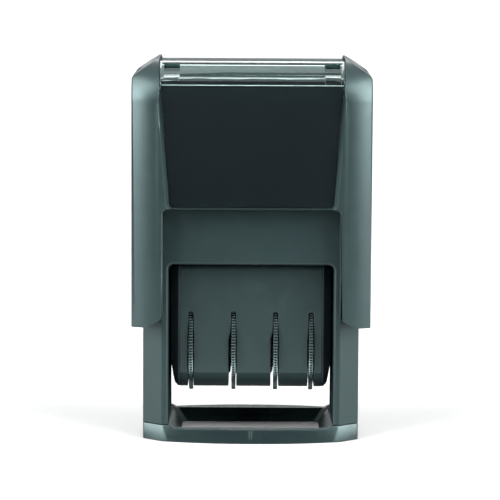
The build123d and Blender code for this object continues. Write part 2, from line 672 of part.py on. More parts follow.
def setting_wheel(index):
    """Thin knurled wheel with the hub that drives its band."""
    x = WHEEL_X[index]
    points = []
    for i in range(2 * KNURL_TEETH):
        angle = math.pi * i / KNURL_TEETH
        radius = WHEEL_R - KNURL_H * (i % 2)
        points.append((radius * math.cos(angle), WHEEL_Z + radius * math.sin(angle)))
    wheel = along_x(polygon(points), x - WHEEL_T / 2, x + WHEEL_T / 2)
    hub = hub_span(index)
    wheel += along_x(Pos(0, WHEEL_Z) * RegularPolygon(HUB_R, HUB_SIDES), hub[0], hub[1])
    end = SHELL_W / 2 - RUN_GAP
    if index == 0:
        collar = (-end, x)
    elif index == len(WHEEL_X) - 1:
        collar = (x, end)
    else:
        collar = (x, x + WHEEL_T / 2 + RUN_GAP - COLLAR_GAP)
    wheel += rod(COLLAR_R, *collar, 0, WHEEL_Z)
    return wheel - rod(SHAFT_R + PIN_GAP, -SHELL_W, SHELL_W, 0, WHEEL_Z)


def bridge_corner():
    """Centre of the bridge's upper corner rounding, as (y, z)."""
    return BRIDGE_D / 2 - BRIDGE_R, FACE_Z - TYPE_H - BAND_T - SEAT_GAP - BRIDGE_R


def band_bridge():
    """Bar under the printing face, with ribs that keep the bands apart."""
    y, z = bridge_corner()
    top = z + BRIDGE_R
    bar = Pos(0, top - BRIDGE_H / 2) * Rectangle(BRIDGE_D, BRIDGE_H)
    bar = fillet(bar.vertices().group_by(Axis.Y)[-1], BRIDGE_R)
    body = along_x(bar, -SHELL_W / 2, SHELL_W / 2)
    halfway = (hub_span(0)[1] + hub_span(1)[0]) / 2
    rib = Pos(0, top - BRIDGE_H / 2 + BAND_T / 2) * Rectangle(BRIDGE_D, BRIDGE_H + BAND_T)
    for x, thick in ((halfway, RUN_GAP), (WHEEL_X[1], WHEEL_T), (WHEEL_X[2], WHEEL_T)):
        body += along_x(rib, x - thick / 2, x + thick / 2)
    for s in (-1, 1):
        under = SHELL_Z1 - SHELL_T - SEAT_GAP
        body -= sided(s, mouth_half()[0] - SEAT_GAP, SHELL_W, -BRIDGE_D, BRIDGE_D, under, FACE_Z)
    return body


def band_shape(grow):
    """Radii round the hub and the bridge's corners, and the outward angle of the straight runs."""
    y, z = bridge_corner()
    hub = HUB_R + PIN_GAP + grow
    corner = BRIDGE_R + SEAT_GAP + grow
    rise = z - WHEEL_Z
    lean = math.atan2(rise, y) - math.acos((hub - corner) / math.hypot(y, rise))
    return hub, corner, lean


def band_face(grow):
    """Side view of a band's loop: over the bridge, down both sides and round the hub."""
    y, z = bridge_corner()
    hub, corner, lean = band_shape(grow)
    bend = (math.pi / 2 + lean) / 2
    high = (y + corner * math.cos(lean), z + corner * math.sin(lean))
    low = (hub * math.cos(lean), WHEEL_Z + hub * math.sin(lean))
    edges = [Line((-y, z + corner), (y, z + corner))]
    for s in (-1, 1):
        middle = (s * (y + corner * math.cos(bend)), z + corner * math.sin(bend))
        edges.append(ThreePointArc((s * y, z + corner), middle, (s * high[0], high[1])))
        edges.append(Line((s * high[0], high[1]), (s * low[0], low[1])))
    edges.append(ThreePointArc(low, (0, WHEEL_Z - hub), (-low[0], low[1])))
    return make_face(edges)


def type_spots():
    """Places of the type blocks on the right half of a loop: y, z and outward angle."""
    y, z = bridge_corner()
    hub, corner, lean = band_shape(BAND_T)
    high = Vector(y + corner * math.cos(lean), z + corner * math.sin(lean))
    low = Vector(hub * math.cos(lean), WHEEL_Z + hub * math.sin(lean))
    bend = corner * (math.pi / 2 - lean)
    straight = (low - high).length
    half_loop = y + bend + straight + hub * (lean + math.pi / 2)
    spots = []
    for i in range(TYPE_COUNT // 2 + 1):
        run = half_loop * i / (TYPE_COUNT // 2)
        if run < y:
            spots.append((run, z + corner, math.pi / 2))
        elif run < y + bend:
            angle = math.pi / 2 - (run - y) / corner
            spots.append((y + corner * math.cos(angle), z + corner * math.sin(angle), angle))
        elif run < y + bend + straight:
            spot = high + (low - high) * ((run - y - bend) / straight)
            spots.append((spot.X, spot.Y, lean))
        else:
            angle = lean - (run - y - bend - straight) / hub
            spots.append((hub * math.cos(angle), WHEEL_Z + hub * math.sin(angle), angle))
    return spots


def type_band(index):
    """Endless rubber band over a hub and the bridge, with raised type blocks all round."""
    x0, x1 = hub_span(index)
    x0 += BAND_SIDE
    x1 -= BAND_SIDE
    band = along_x(band_face(BAND_T) - band_face(0), x0, x1)
    spots = type_spots()
    turned = [(-y, z, math.pi - angle) for y, z, angle in spots[1:-1]]
    for i, (y, z, angle) in enumerate(spots + turned):
        length = TYPE_L if i == 0 else TYPE_SHORT
        face = Pos((TYPE_H - TYPE_ROOT) / 2, 0) * Rectangle(TYPE_H + TYPE_ROOT, length)
        band += along_x(Pos(y, z) * Rot(0, 0, math.degrees(angle)) * face, x0, x1)
    return band


def lock_button(side):
    """Side button in the housing's wall with a flange inside and three grip grooves."""
    inner = HOUSING_W / 2 - HOUSING_WALL - SEAT_GAP
    outer = HOUSING_W / 2 - BUTTON_SUNK
    half_y = BUTTON_L / 2
    half_z = BUTTON_H / 2
    button = sided(side, inner - FLANGE_T, outer, -half_y, half_y, BUTTON_Z - half_z, BUTTON_Z + half_z)
    edge_y = half_y + FLANGE_EDGE
    edge_z = half_z + FLANGE_EDGE
    button += sided(side, inner - FLANGE_T, inner, -edge_y, edge_y, BUTTON_Z - edge_z, BUTTON_Z + edge_z)
    nose = inner - FLANGE_T - RUN_GAP
    button += sided(side, nose, inner, -NOSE_W / 2, NOSE_W / 2, BUTTON_Z - NOSE_H / 2, BUTTON_Z + NOSE_H / 2)
    for i in (-1, 0, 1):
        z = BUTTON_Z + i * BUTTON_H / 4
        ridge_y = half_y - RIDGE_EDGE
        ridge_x = (outer - RIDGE_DEPTH, outer + OVER)
        button -= sided(side, *ridge_x, -ridge_y, ridge_y, z - RIDGE_W / 2, z + RIDGE_W / 2)
    return button


def nodes():
    """Every piece by its name, with the function that makes it."""
    makers = {
        "lower_frame": lower_frame,
        "foot_frame": foot_frame,
        "ink_tray": ink_tray,
        "ink_pad": ink_pad,
        "return_spring": return_spring,
        "upper_housing": upper_housing,
        "window_cover": window_cover,
        "index_card_front": lambda: index_card(-1),
        "index_card_rear": lambda: index_card(1),
        "drive_yoke": drive_yoke,
        "carriage_front": lambda: carriage_shell(-1),
        "carriage_rear": lambda: carriage_shell(1),
        "cheek_left": lambda: cheek(-1),
        "cheek_right": lambda: cheek(1),
        "wheel_shaft": wheel_shaft,
        "band_bridge": band_bridge,
        "lock_button_left": lambda: lock_button(-1),
        "lock_button_right": lambda: lock_button(1),
    }
    for number, name in enumerate(("day_tens", "day_units", "month", "year")):
        makers["wheel_" + name] = lambda number=number: setting_wheel(number)
        makers["band_" + name] = lambda number=number: type_band(number)
    return makers


def main():
    """Make every piece and write it to its own file."""
    os.makedirs("parts", exist_ok=True)
    for name, make in nodes().items():
        piece = make()
        export_step(piece, os.path.join("parts", name + ".step"))
        print(name, "solids", len(piece.solids()), "volume", round(piece.volume, 1))


if __name__ == "__main__":
    main()
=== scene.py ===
# %% [markdown]
# # A self-inking date stamp, dressed for the camera
#
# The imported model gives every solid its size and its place. This lesson keeps those and adds what a
# solid does not have: edges a mould really leaves, knurls too fine to be worth modelling in CAD,
# figures on the bands, felt, wire, and finishes with grain in them. Lengths are metres, X runs to
# the right, Y to the back and Z up.

# %% Load the frame
import json
import math

import bmesh
import bpy
import numpy as np
from mathutils import Matrix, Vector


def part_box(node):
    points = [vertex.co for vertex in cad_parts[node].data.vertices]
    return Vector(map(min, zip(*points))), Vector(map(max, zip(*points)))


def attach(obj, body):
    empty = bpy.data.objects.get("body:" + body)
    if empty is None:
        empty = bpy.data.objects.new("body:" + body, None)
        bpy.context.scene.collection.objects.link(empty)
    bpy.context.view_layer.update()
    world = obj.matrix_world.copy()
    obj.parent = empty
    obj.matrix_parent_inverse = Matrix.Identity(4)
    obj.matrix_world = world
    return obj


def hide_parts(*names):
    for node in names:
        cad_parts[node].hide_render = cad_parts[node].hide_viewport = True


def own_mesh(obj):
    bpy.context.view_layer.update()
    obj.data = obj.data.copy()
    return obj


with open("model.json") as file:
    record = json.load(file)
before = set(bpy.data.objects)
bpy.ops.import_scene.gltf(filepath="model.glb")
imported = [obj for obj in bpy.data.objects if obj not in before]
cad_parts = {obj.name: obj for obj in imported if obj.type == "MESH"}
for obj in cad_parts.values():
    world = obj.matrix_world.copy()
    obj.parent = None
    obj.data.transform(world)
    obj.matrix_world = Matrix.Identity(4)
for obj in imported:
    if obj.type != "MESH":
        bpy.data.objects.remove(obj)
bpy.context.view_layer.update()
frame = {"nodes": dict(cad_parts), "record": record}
MM = 0.001
body_of_node = {n: b for b, names in frame["record"]["behaviour"]["bodies"].items() for n in names}

# %% [markdown]
# ## From a grid of points to a mesh
#
# Most new pieces here are one idea: a table of points with rows and columns, where neighbours are
# joined into four-sided faces. A tube, a wheel and a cushion differ only in the formula that fills
# the table, so one helper does the joining for all of them. It can close the table along rows,
# along columns, or with a lid on the first and last row, and it turns the faces outwards by looking
# at the sign of the volume they enclose.


# %% Grid helper
def grid_faces(rows, cols, wrap_rows, wrap_cols):
    """Corner numbers of every face: (i, j), (i + 1, j), (i + 1, j + 1), (i, j + 1), wrapped if asked."""
    i, j = np.meshgrid(
        np.arange(rows if wrap_rows else rows - 1),
        np.arange(cols if wrap_cols else cols - 1),
        indexing="ij",
    )
    up = np.stack([i, i + 1, i + 1, i], -1)
    over = np.stack([j, j, j + 1, j + 1], -1)
    corners = (up % rows) * cols + over % cols
    share = np.stack([up / rows, over / cols], -1)
    return corners.reshape(-1, 4), share.reshape(-1, 2)


def enclosed(points, quads):
    """Volume inside the faces: a sixth of the triple product of each triangle's corners, added up."""
    a, b, c, d = (points[quads[:, k]] for k in range(4))
    return (np.einsum("ij,ij->", a, np.cross(b, c)) + np.einsum("ij,ij->", a, np.cross(c, d))) / 6


def grid_mesh(name, table, wrap_rows=False, wrap_cols=True, lids=False):
    """Mesh of a table of points, with the grid's own two shares as its UV map."""
    rows, cols = table.shape[:2]
    points = table.reshape(-1, 3)
    quads, share = grid_faces(rows, cols, wrap_rows, wrap_cols)
    ends = [list(range(cols)), list(range((rows - 1) * cols, rows * cols))[::-1]]
    if enclosed(points - points.mean(0), quads) < 0:
        quads = quads[:, ::-1]
        share = share.reshape(-1, 4, 2)[:, ::-1].reshape(-1, 2)
        ends = [end[::-1] for end in ends]
    mesh = bpy.data.meshes.new(name)
    mesh.from_pydata(points.tolist(), [], quads.tolist() + (ends if lids else []))
    uv = np.zeros((len(mesh.loops), 2))
    uv[: len(share)] = share
    mesh.uv_layers.new(name="grid").data.foreach_set("uv", uv.ravel())
    return mesh


def merge_points(mesh, distance):
    """Joins the points of a mesh that lie closer together than distance."""
    work = bmesh.new()
    work.from_mesh(mesh)
    bmesh.ops.remove_doubles(work, verts=work.verts, dist=distance)
    work.to_mesh(mesh)
    work.free()
    return mesh


def place_piece(mesh, body, material, node, crease=32):
    """Object for a finished mesh: smooth up to the crease angle, riding on its body, for its solid."""
    mesh.materials.clear()
    mesh.materials.append(material)
    mesh.shade_smooth()
    mesh.set_sharp_from_angle(angle=math.radians(crease))
    piece = bpy.data.objects.new(mesh.name, mesh)
    bpy.context.scene.collection.objects.link(piece)
    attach(piece, body)
    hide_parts(node)
    return piece


print("grid helper ready")

# %% [markdown]
# ## Small tools for finishes
#
# Every finish below is a handful of noise textures read at the object's own coordinates, so that
# the pattern stays on the piece when it moves. The helpers only shorten the wiring: a noise, a
# range that stretches it between two numbers, a mix of two colours, and a bump.


# %% Finish helpers
def start_finish(name):
    """New material with its shader and its object coordinates."""
    material = bpy.data.materials.new(name)
    material.use_nodes = True
    tree = material.node_tree
    place = tree.nodes.new("ShaderNodeTexCoord")
    return material, tree, tree.nodes["Principled BSDF"], place.outputs["Object"]


def stretch(tree, place, sizes):
    """Coordinates multiplied along each axis, for grain that runs one way."""
    node = tree.nodes.new("ShaderNodeMapping")
    node.inputs["Scale"].default_value = sizes
    tree.links.new(place, node.inputs["Vector"])
    return node.outputs["Vector"]


def noise(tree, place, size, detail):
    """Cloudy value between 0 and 1 whose patches are about size metres across."""
    node = tree.nodes.new("ShaderNodeTexNoise")
    node.inputs["Scale"].default_value = 1 / size
    node.inputs["Detail"].default_value = detail
    tree.links.new(place, node.inputs["Vector"])
    return node.outputs["Fac"]


def spread(tree, value, low, high, start=0.3, end=0.7):
    """The middle of a noise, stretched to run from low to high."""
    node = tree.nodes.new("ShaderNodeMapRange")
    for key, number in (("From Min", start), ("From Max", end), ("To Min", low), ("To Max", high)):
        node.inputs[key].default_value = number
    tree.links.new(value, node.inputs["Value"])
    return node.outputs["Result"]


def mix(tree, share, first, second):
    """Colour between two colours."""
    node = tree.nodes.new("ShaderNodeMix")
    node.data_type = "RGBA"
    node.inputs["A"].default_value = (*first, 1)
    node.inputs["B"].default_value = (*second, 1)
    tree.links.new(share, node.inputs["Factor"])
    return next(s for s in node.outputs if s.type == "RGBA")


def calc(tree, operation, *values):
    """One sum, product or other step with values from other nodes and plain numbers."""
    node = tree.nodes.new("ShaderNodeMath")
    node.operation = operation
    for socket, value in zip(node.inputs, values):
        if isinstance(value, (int, float)):
            socket.default_value = value
        else:
            tree.links.new(value, socket)
    return node.outputs["Value"]


def split_axes(tree, place):
    """The three coordinates one by one."""
    node = tree.nodes.new("ShaderNodeSeparateXYZ")
    tree.links.new(place, node.inputs["Vector"])
    return node.outputs


def bump(tree, shader, height, depth):
    """Fine relief: the value 1 stands depth metres above the value 0."""
    node = tree.nodes.new("ShaderNodeBump")
    node.inputs["Distance"].default_value = depth
    tree.links.new(height, node.inputs["Height"])
    tree.links.new(node.outputs["Normal"], shader.inputs["Normal"])


print("finish helpers ready")

# %% [markdown]
# ## Moulded plastic
#
# The body is coloured through and comes out of a mould with a very fine spark-eroded grain. Three
# things show it: the grain itself as a shallow bump a tenth of a millimetre wide, a gloss that is
# not quite even, and a colour that drifts a little over the flow of the plastic. A picture of the
# grain could be laid on too, but noise has no seams and no end. One function makes the surface of all
# the plastics, which differ in colour, in gloss and in how much they mirror. A wall that has to leave
# its mould leans back a little, more so towards the top; that lean is part of the relief.

# %% Plastic surface
DRIFT = 9 * MM
PATCH = 2.5 * MM
GRAIN = 0.12 * MM
GRAIN_DEPTH = 4e-6
COOL_SHINE = (0.74, 1, 1, 1)


def lean_back(tree, place, start, reach, angle):
    """Relief of a wall that leans back above the height start: its slope grows with the square of the
    share of reach and comes to angle at the end, so the relief grows with the cube."""
    share = calc(tree, "MULTIPLY_ADD", split_axes(tree, place)["Z"], 1 / reach, -start / reach)
    cube = calc(tree, "POWER", calc(tree, "MAXIMUM", share, 0.0), 3.0)
    return calc(tree, "MULTIPLY", cube, -math.tan(angle) * reach / 3)


def satin(tree, shader, place, gloss, specular=0.5, lean=None):
    """Surface of a plastic: roughness spans gloss in patches, and the bump adds the grain's noise, times
    its depth, to the wall's lean."""
    patch = noise(tree, place, PATCH, 5)
    tree.links.new(spread(tree, patch, *gloss), shader.inputs["Roughness"])
    relief = calc(tree, "MULTIPLY", noise(tree, place, GRAIN, 2), GRAIN_DEPTH)
    if lean:
        relief = calc(tree, "ADD", relief, lean_back(tree, place, *lean))
    bump(tree, shader, relief, 1.0)
    shader.inputs["Specular IOR Level"].default_value = specular
    shader.inputs["Specular Tint"].default_value = COOL_SHINE


def moulded(name, tones, gloss, specular=0.5, lean=None):
    """Plastic of one colour, which drifts between a dark and a light tone."""
    material, tree, shader, place = start_finish(name)
    drift = spread(tree, noise(tree, place, DRIFT, 4), 0, 1)
    tree.links.new(mix(tree, drift, *tones), shader.inputs["Base Color"])
    satin(tree, shader, place, gloss, specular, lean)
    return material


print("grain:", GRAIN / MM, "mm wide")

# %% [markdown]
# The stamp's plastics are all much the same blue-green black. Each has a dark and a light tone, and its
# gloss is a range of roughness. A lean has the height where it starts, how far it reaches up and its
# last angle.

# %% Plastic finishes
HOUSING_TONES = ((0.0052, 0.0098, 0.0104), (0.0064, 0.0118, 0.0124))
FRAME_TONES = ((0.0058, 0.0108, 0.0114), (0.0070, 0.0128, 0.0136))
FOOT_TONES = ((0.0052, 0.0094, 0.0100), (0.0064, 0.0114, 0.0120))
CARRIAGE_TONES = ((0.0048, 0.0090, 0.0095), (0.0060, 0.0108, 0.0113))
TRAY_TONES = ((0.0055, 0.0088, 0.0092), (0.0070, 0.0110, 0.0114))
INNER_TONES = ((0.0064, 0.0100, 0.0104), (0.0084, 0.0124, 0.0128))
CHEEK_TONES = ((0.0090, 0.0130, 0.0160), (0.0110, 0.0160, 0.0190))
BUTTON_TONES = ((0.0092, 0.0154, 0.0158), (0.0116, 0.0186, 0.0190))
WING_LEAN = (30 * MM, 45 * MM, math.radians(3.5))
FOOT_LEAN = (-10 * MM, 12 * MM, math.radians(10))
DULL = (0.6, 0.7)

housing_finish = moulded("housing_satin", HOUSING_TONES, (0.34, 0.40), lean=WING_LEAN)
frame_finish = moulded("frame_satin", FRAME_TONES, (0.31, 0.37), specular=0.42)
foot_finish = moulded("foot_satin", FOOT_TONES, (0.20, 0.26), specular=0.38, lean=FOOT_LEAN)
carriage_finish = moulded("carriage_satin", CARRIAGE_TONES, (0.32, 0.40))
tray_finish = moulded("tray_plastic", TRAY_TONES, (0.35, 0.45))
inner_finish = moulded("inner_plastic", INNER_TONES, (0.38, 0.48))
cheek_finish = moulded("cheek_plastic", CHEEK_TONES, (0.42, 0.5), specular=0.2)
edge_finish = moulded("window_edge_plastic", HOUSING_TONES, DULL, specular=0.1)
wall_finish = moulded("window_wall_plastic", HOUSING_TONES, DULL, specular=0)
roll_finish = moulded("carriage_roll_plastic", CARRIAGE_TONES, (0.4, 0.5), specular=0.15)
button_finish = moulded("button_plastic", BUTTON_TONES, (0.28, 0.34))
print("plastics:", [m.name for m in bpy.data.materials if "satin" in m.name or "plastic" in m.name])

# %% [markdown]
# ## Clear plastic and black card
#
# The window is clear acrylic over a black card. Clear plastic is all transmission, with a faint
# waviness left by the mould that bends the reflections, and a green tint that deepens where light runs
# a long way inside it. A thin sheet could do without that depth, but the bevelled edge of the cover
# shows it. The card is paper printed black, with fibres that run mostly from side to side. Where the
# print is missing, the paper is pale.


# %% Window finishes
def clear_acrylic():
    """Clear plastic: the tint drifts over 20 mm and absorbs with depth, the surface waves over 12 mm."""
    material, tree, shader, place = start_finish("clear_acrylic")
    shader.inputs["Transmission Weight"].default_value = 1.0
    shader.inputs["IOR"].default_value = 1.49
    tint = spread(tree, noise(tree, place, 20 * MM, 2), 0, 1)
    tree.links.new(mix(tree, tint, (0.80, 0.92, 0.90), (0.85, 0.95, 0.93)), shader.inputs["Base Color"])
    shader.inputs["Specular Tint"].default_value = (0.76, 1, 0.97, 1)
    haze = noise(tree, place, 6 * MM, 4)
    tree.links.new(spread(tree, haze, 0.01, 0.04), shader.inputs["Roughness"])
    bump(tree, shader, noise(tree, place, 12 * MM, 1), 6e-6)
    depth = tree.nodes.new("ShaderNodeVolumeAbsorption")
    depth.inputs["Color"].default_value = (0.45, 0.6, 0.59, 1)
    depth.inputs["Density"].default_value = 200
    tree.links.new(depth.outputs["Volume"], tree.nodes["Material Output"].inputs["Volume"])
    return material


def black_card():
    """Black card: long fibres in colour and bump."""
    material, tree, shader, place = start_finish("black_card")
    fibre = noise(tree, stretch(tree, place, (0.25, 1, 1)), 0.4 * MM, 5)
    colour = mix(tree, spread(tree, fibre, 0, 1), (0.0044, 0.0060, 0.0084), (0.0056, 0.0074, 0.0102))
    tree.links.new(colour, shader.inputs["Base Color"])
    tree.links.new(spread(tree, fibre, 0.5, 0.62), shader.inputs["Roughness"])
    shader.inputs["Specular IOR Level"].default_value = 0.12
    bump(tree, shader, fibre, 6e-6)
    return material


def pale_paper_and_crease_highlight():
    """Pale paper colour, painted as a highlight line below the second crease and as bare paper beyond the
    print: specks in the colour and in the bump.
    """
    material, tree, shader, place = start_finish("pale_paper_and_crease_highlight")
    speck = noise(tree, place, 0.3 * MM, 4)
    colour = mix(tree, spread(tree, speck, 0, 1), (0.42, 0.46, 0.45), (0.58, 0.62, 0.61))
    tree.links.new(colour, shader.inputs["Base Color"])
    shader.inputs["Roughness"].default_value = 0.8
    bump(tree, shader, speck, 2e-5)
    return material


clear_finish = clear_acrylic()
card_finish = black_card()
pale_paper_and_highlight_finish = pale_paper_and_crease_highlight()
print("window finishes:", clear_finish.name, card_finish.name, pale_paper_and_highlight_finish.name)

# %% [markdown]
# ## Felt, rubber and steel
#
# Three finishes that only the other views show. Felt is a mat of fibres soaked in ink, so it has a
# soft sheen and blotches. Real fibres would be hair, but the pad is deep inside, where a bump does as
# well. Rubber is matt with a bloom of powder. Drawn steel carries fine streaks the way it was drawn, so
# its noise is stretched along the shaft, and along the flat turns of the spring.


# %% Soft and metal finishes
def ink_felt():
    """Felt: fibres in the roughness and the bump, ink blotches in the colour, a sheen on top."""
    material, tree, shader, place = start_finish("ink_felt")
    blotch = noise(tree, place, 5 * MM, 4)
    colour = mix(tree, spread(tree, blotch, 0, 1), (0.010, 0.010, 0.022), (0.022, 0.022, 0.040))
    tree.links.new(colour, shader.inputs["Base Color"])
    fibre = noise(tree, place, 0.25 * MM, 6)
    tree.links.new(spread(tree, fibre, 0.8, 0.95), shader.inputs["Roughness"])
    shader.inputs["Sheen Weight"].default_value = 0.4
    bump(tree, shader, fibre, 6e-5)
    return material


def band_rubber():
    """Rubber: matt, with powder gathered in patches."""
    material, tree, shader, place = start_finish("band_rubber")
    bloom = noise(tree, place, 1.2 * MM, 5)
    colour = mix(tree, spread(tree, bloom, 0, 1, 0.4, 0.8), (0.022, 0.022, 0.024), (0.055, 0.055, 0.057))
    tree.links.new(colour, shader.inputs["Base Color"])
    tree.links.new(spread(tree, bloom, 0.6, 0.78), shader.inputs["Roughness"])
    bump(tree, shader, noise(tree, place, 0.15 * MM, 3), 8e-6)
    return material


def drawn_steel(name, streaks):
    """Steel: grey metal with fine streaks. An axis that streaks makes smaller gets longer streaks."""
    material, tree, shader, place = start_finish(name)
    shader.inputs["Metallic"].default_value = 1.0
    line = noise(tree, stretch(tree, place, streaks), 0.2 * MM, 4)
    colour = mix(tree, spread(tree, line, 0, 1), (0.42, 0.43, 0.44), (0.58, 0.59, 0.60))
    tree.links.new(colour, shader.inputs["Base Color"])
    tree.links.new(spread(tree, line, 0.22, 0.36), shader.inputs["Roughness"])
    bump(tree, shader, line, 3e-6)
    return material


felt_finish = ink_felt()
rubber_finish = band_rubber()
shaft_finish = drawn_steel("shaft_steel", (0.05, 1, 1))
spring_finish = drawn_steel("spring_steel", (0.2, 0.2, 1))
print("other finishes:", felt_finish.name, rubber_finish.name, shaft_finish.name, spring_finish.name)

# %% [markdown]
# ## Edges as a mould leaves them
#
# A solid has knife edges, and a knife edge catches no light. On the real stamp every edge is
# rounded by a tenth or two of a millimetre, which draws the thin bright lines along its outlines.
# Rounding the solids themselves would add a great many faces, so a modifier does it here. The CAD mesh
# is loose triangles: a copy is merged, its flat triangles are joined back into whole faces, and a Bevel
# modifier rounds what is left.

# %% Rounded copies
CAD_MERGE = 1e-6
FLAT_ANGLE = math.radians(0.5)


def merged_copy(node):
    """Copy of a CAD piece's triangles, joined at their shared corners."""
    mesh = frame["nodes"][node].data.copy()
    mesh.name = node + "_rounded"
    mesh.attributes.remove(mesh.attributes["custom_normal"])
    return merge_points(mesh, CAD_MERGE)


def everywhere(place):
    """Rounds every sharp edge."""
    return True


def rounded_piece(node, mesh, width, material, angle=35, where=everywhere, clamp=False):
    """Joins flat triangles into whole faces and rounds the sharp edges by width. where tells from an
    edge's middle whether it is rounded. clamp makes the rounding smaller where edges lie close."""
    work = bmesh.new()
    work.from_mesh(mesh)
    bmesh.ops.dissolve_limit(work, angle_limit=FLAT_ANGLE, verts=work.verts, edges=work.edges)
    weight = work.edges.layers.float.new("bevel_weight_edge")
    sharp = math.radians(angle)
    for edge in work.edges:
        middle = (edge.verts[0].co + edge.verts[1].co) / 2
        edge[weight] = float(edge.calc_face_angle(0) > sharp and where(middle))
    work.to_mesh(mesh)
    work.free()
    piece = place_piece(mesh, body_of_node[node], material, node, crease=angle)
    bevel = piece.modifiers.new("edge rounding", "BEVEL")
    bevel.width = width
    bevel.segments = 2
    bevel.limit_method = "WEIGHT"
    bevel.use_clamp_overlap = clamp
    bevel.harden_normals = True
    return piece


print("flat below", round(math.degrees(FLAT_ANGLE), 2), "degrees")

# %% [markdown]
# Each piece has its own width of rounding, in millimetres, widest on the frame and narrow on the clear
# cover. On three pieces the edges lie closer together than their roundings would need. There the
# modifier is told to clamp them, so that no rounding runs over the next edge.

# %% Rounded pieces
rounded = [
    ("lower_frame", 0.22, "frame_plastic", frame_finish),
    ("foot_frame", 0.18, "foot_plastic", foot_finish),
    ("carriage_front", 0.15, "carriage_plastic", carriage_finish),
    ("carriage_rear", 0.15, "carriage_plastic", carriage_finish),
    ("cheek_left", 0.15, "carriage_plastic", cheek_finish),
    ("cheek_right", 0.15, "carriage_plastic", cheek_finish),
    ("window_cover", 0.06, "clear_plastic", clear_finish),
    ("ink_tray", 0.20, "tray_plastic", tray_finish),
    ("drive_yoke", 0.20, "yoke_plastic", inner_finish),
    ("band_bridge", 0.10, "bridge_plastic", inner_finish),
    ("lock_button_left", 0.12, "button_plastic", button_finish),
    ("lock_button_right", 0.12, "button_plastic", button_finish),
    ("wheel_shaft", 0.20, "shaft_steel", shaft_finish),
]
close_edged = ("ink_tray", "drive_yoke", "band_bridge")
dressed = {}
for node, width, slot, material in rounded:
    clamp = node in close_edged
    dressed[node] = rounded_piece(node, merged_copy(node), width * MM, material, clamp=clamp)
print("rounded pieces:", len(rounded))

# %% [markdown]
# ## Crown of the housing
#
# The solid's crown is made of five flat steps, which would show as stripes in the soft light. The
# real one is a quarter circle from the front over to the top. A Subdivision Surface would round the
# steps too, but it would soften the pocket and the wings with them. So the faces of the steps are cut
# finer and their points pushed straight away from the crown's axis until they lie on the circle.

# %% Circle of the crown
CROWN_R = 9.0 * MM
CROWN_NEAR = 0.15 * MM
FLAT_X = 19.3 * MM
SIDE_FALL = 1.7 * MM
ON_AXIS = 1e-6
side_x, front_y, top_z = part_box("upper_housing")[1]
crown_z = top_z - CROWN_R


def crown_axis(x):
    """Distance of the crown's axis from the middle plane: the front's, less an arc that falls back
    beside the window, less the crown's radius."""
    beside = np.clip(np.abs(x) - FLAT_X, 0, None)
    radius = ((side_x - FLAT_X) ** 2 + SIDE_FALL**2) / (2 * SIDE_FALL)
    return front_y - (radius - np.sqrt(radius**2 - beside**2)) - CROWN_R


def from_axis(points):
    """Distance of each point from the crown's axis, across and up."""
    across = np.abs(points[:, 1]) - crown_axis(points[:, 0])
    return np.stack([across, points[:, 2] - crown_z], -1)


def on_crown(points):
    """True where a point lies above and outside the axis and close to the circle."""
    arm = from_axis(points)
    near = np.abs(np.linalg.norm(arm, axis=1) - CROWN_R) < CROWN_NEAR
    return near & (arm > -ON_AXIS).all(1)


print("crown's axis at height", round(crown_z / MM, 2), "mm")

# %% [markdown]
# Only the outside of the housing gets rounded edges. The hollow that the frame slides in keeps its own,
# so that nothing changes where the two fit.

# %% Rounded housing
CROWN_CUTS = 4
HOLLOW_Y = 13.6 * MM
SIDE_WALL = 1.0 * MM


def round_crown(mesh, cuts):
    """Cuts the crown's faces finer, then moves each point out along its arm to the crown's radius."""
    centres = np.empty(len(mesh.polygons) * 3)
    mesh.polygons.foreach_get("center", centres)
    chosen = np.flatnonzero(on_crown(centres.reshape(-1, 3)))
    work = bmesh.new()
    work.from_mesh(mesh)
    work.faces.ensure_lookup_table()
    edges = {edge for number in chosen for edge in work.faces[number].edges}
    bmesh.ops.subdivide_edges(work, edges=list(edges), cuts=cuts, use_grid_fill=True)
    work.to_mesh(mesh)
    work.free()
    flat = np.empty(len(mesh.vertices) * 3)
    mesh.vertices.foreach_get("co", flat)
    points = flat.reshape(-1, 3)
    arm = from_axis(points)
    reach = CROWN_R / np.maximum(np.linalg.norm(arm, axis=1), ON_AXIS)
    pushed = points.copy()
    pushed[:, 1] = np.sign(points[:, 1]) * (crown_axis(points[:, 0]) + arm[:, 0] * reach)
    pushed[:, 2] = crown_z + arm[:, 1] * reach
    moved = on_crown(points)
    points[moved] = pushed[moved]
    mesh.vertices.foreach_set("co", points.ravel())
    return len(chosen)


def outside_housing(place):
    """True for edges outside the hollow that the frame slides in."""
    return abs(place.y) > HOLLOW_Y or abs(place.x) > side_x - SIDE_WALL


housing_mesh = merged_copy("upper_housing")
crown_faces = round_crown(housing_mesh, CROWN_CUTS)
dressed["upper_housing"] = rounded_piece(
    "upper_housing", housing_mesh, 0.20 * MM, housing_finish,
    angle=28, where=outside_housing,
)
print("crown faces made finer:", crown_faces)

# %% [markdown]
# ## Dull faces
#
# A mould is polished where the hand and the eye go and left rough elsewhere. Three places have next
# to no gloss: the slanted edges beside the clear window, the side walls of the frame's opening, and
# the roll at the lower edge of the carriage cover. The roughness could change from place to place in
# one material, but its mirror strength can't: an export keeps that only as one number. So their faces
# are picked by place and direction and get a second, duller plastic.

# %% Dull faces
POCKET_X = 21 * MM
POCKET_Z = 51.6 * MM
OPENING_X = 18.13 * MM
ROLL_H = 4.2 * MM
INWARD = 0.3
SIDEWAYS = 0.7
UNDER = 0.1
carriage_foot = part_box("carriage_front")[0][2]


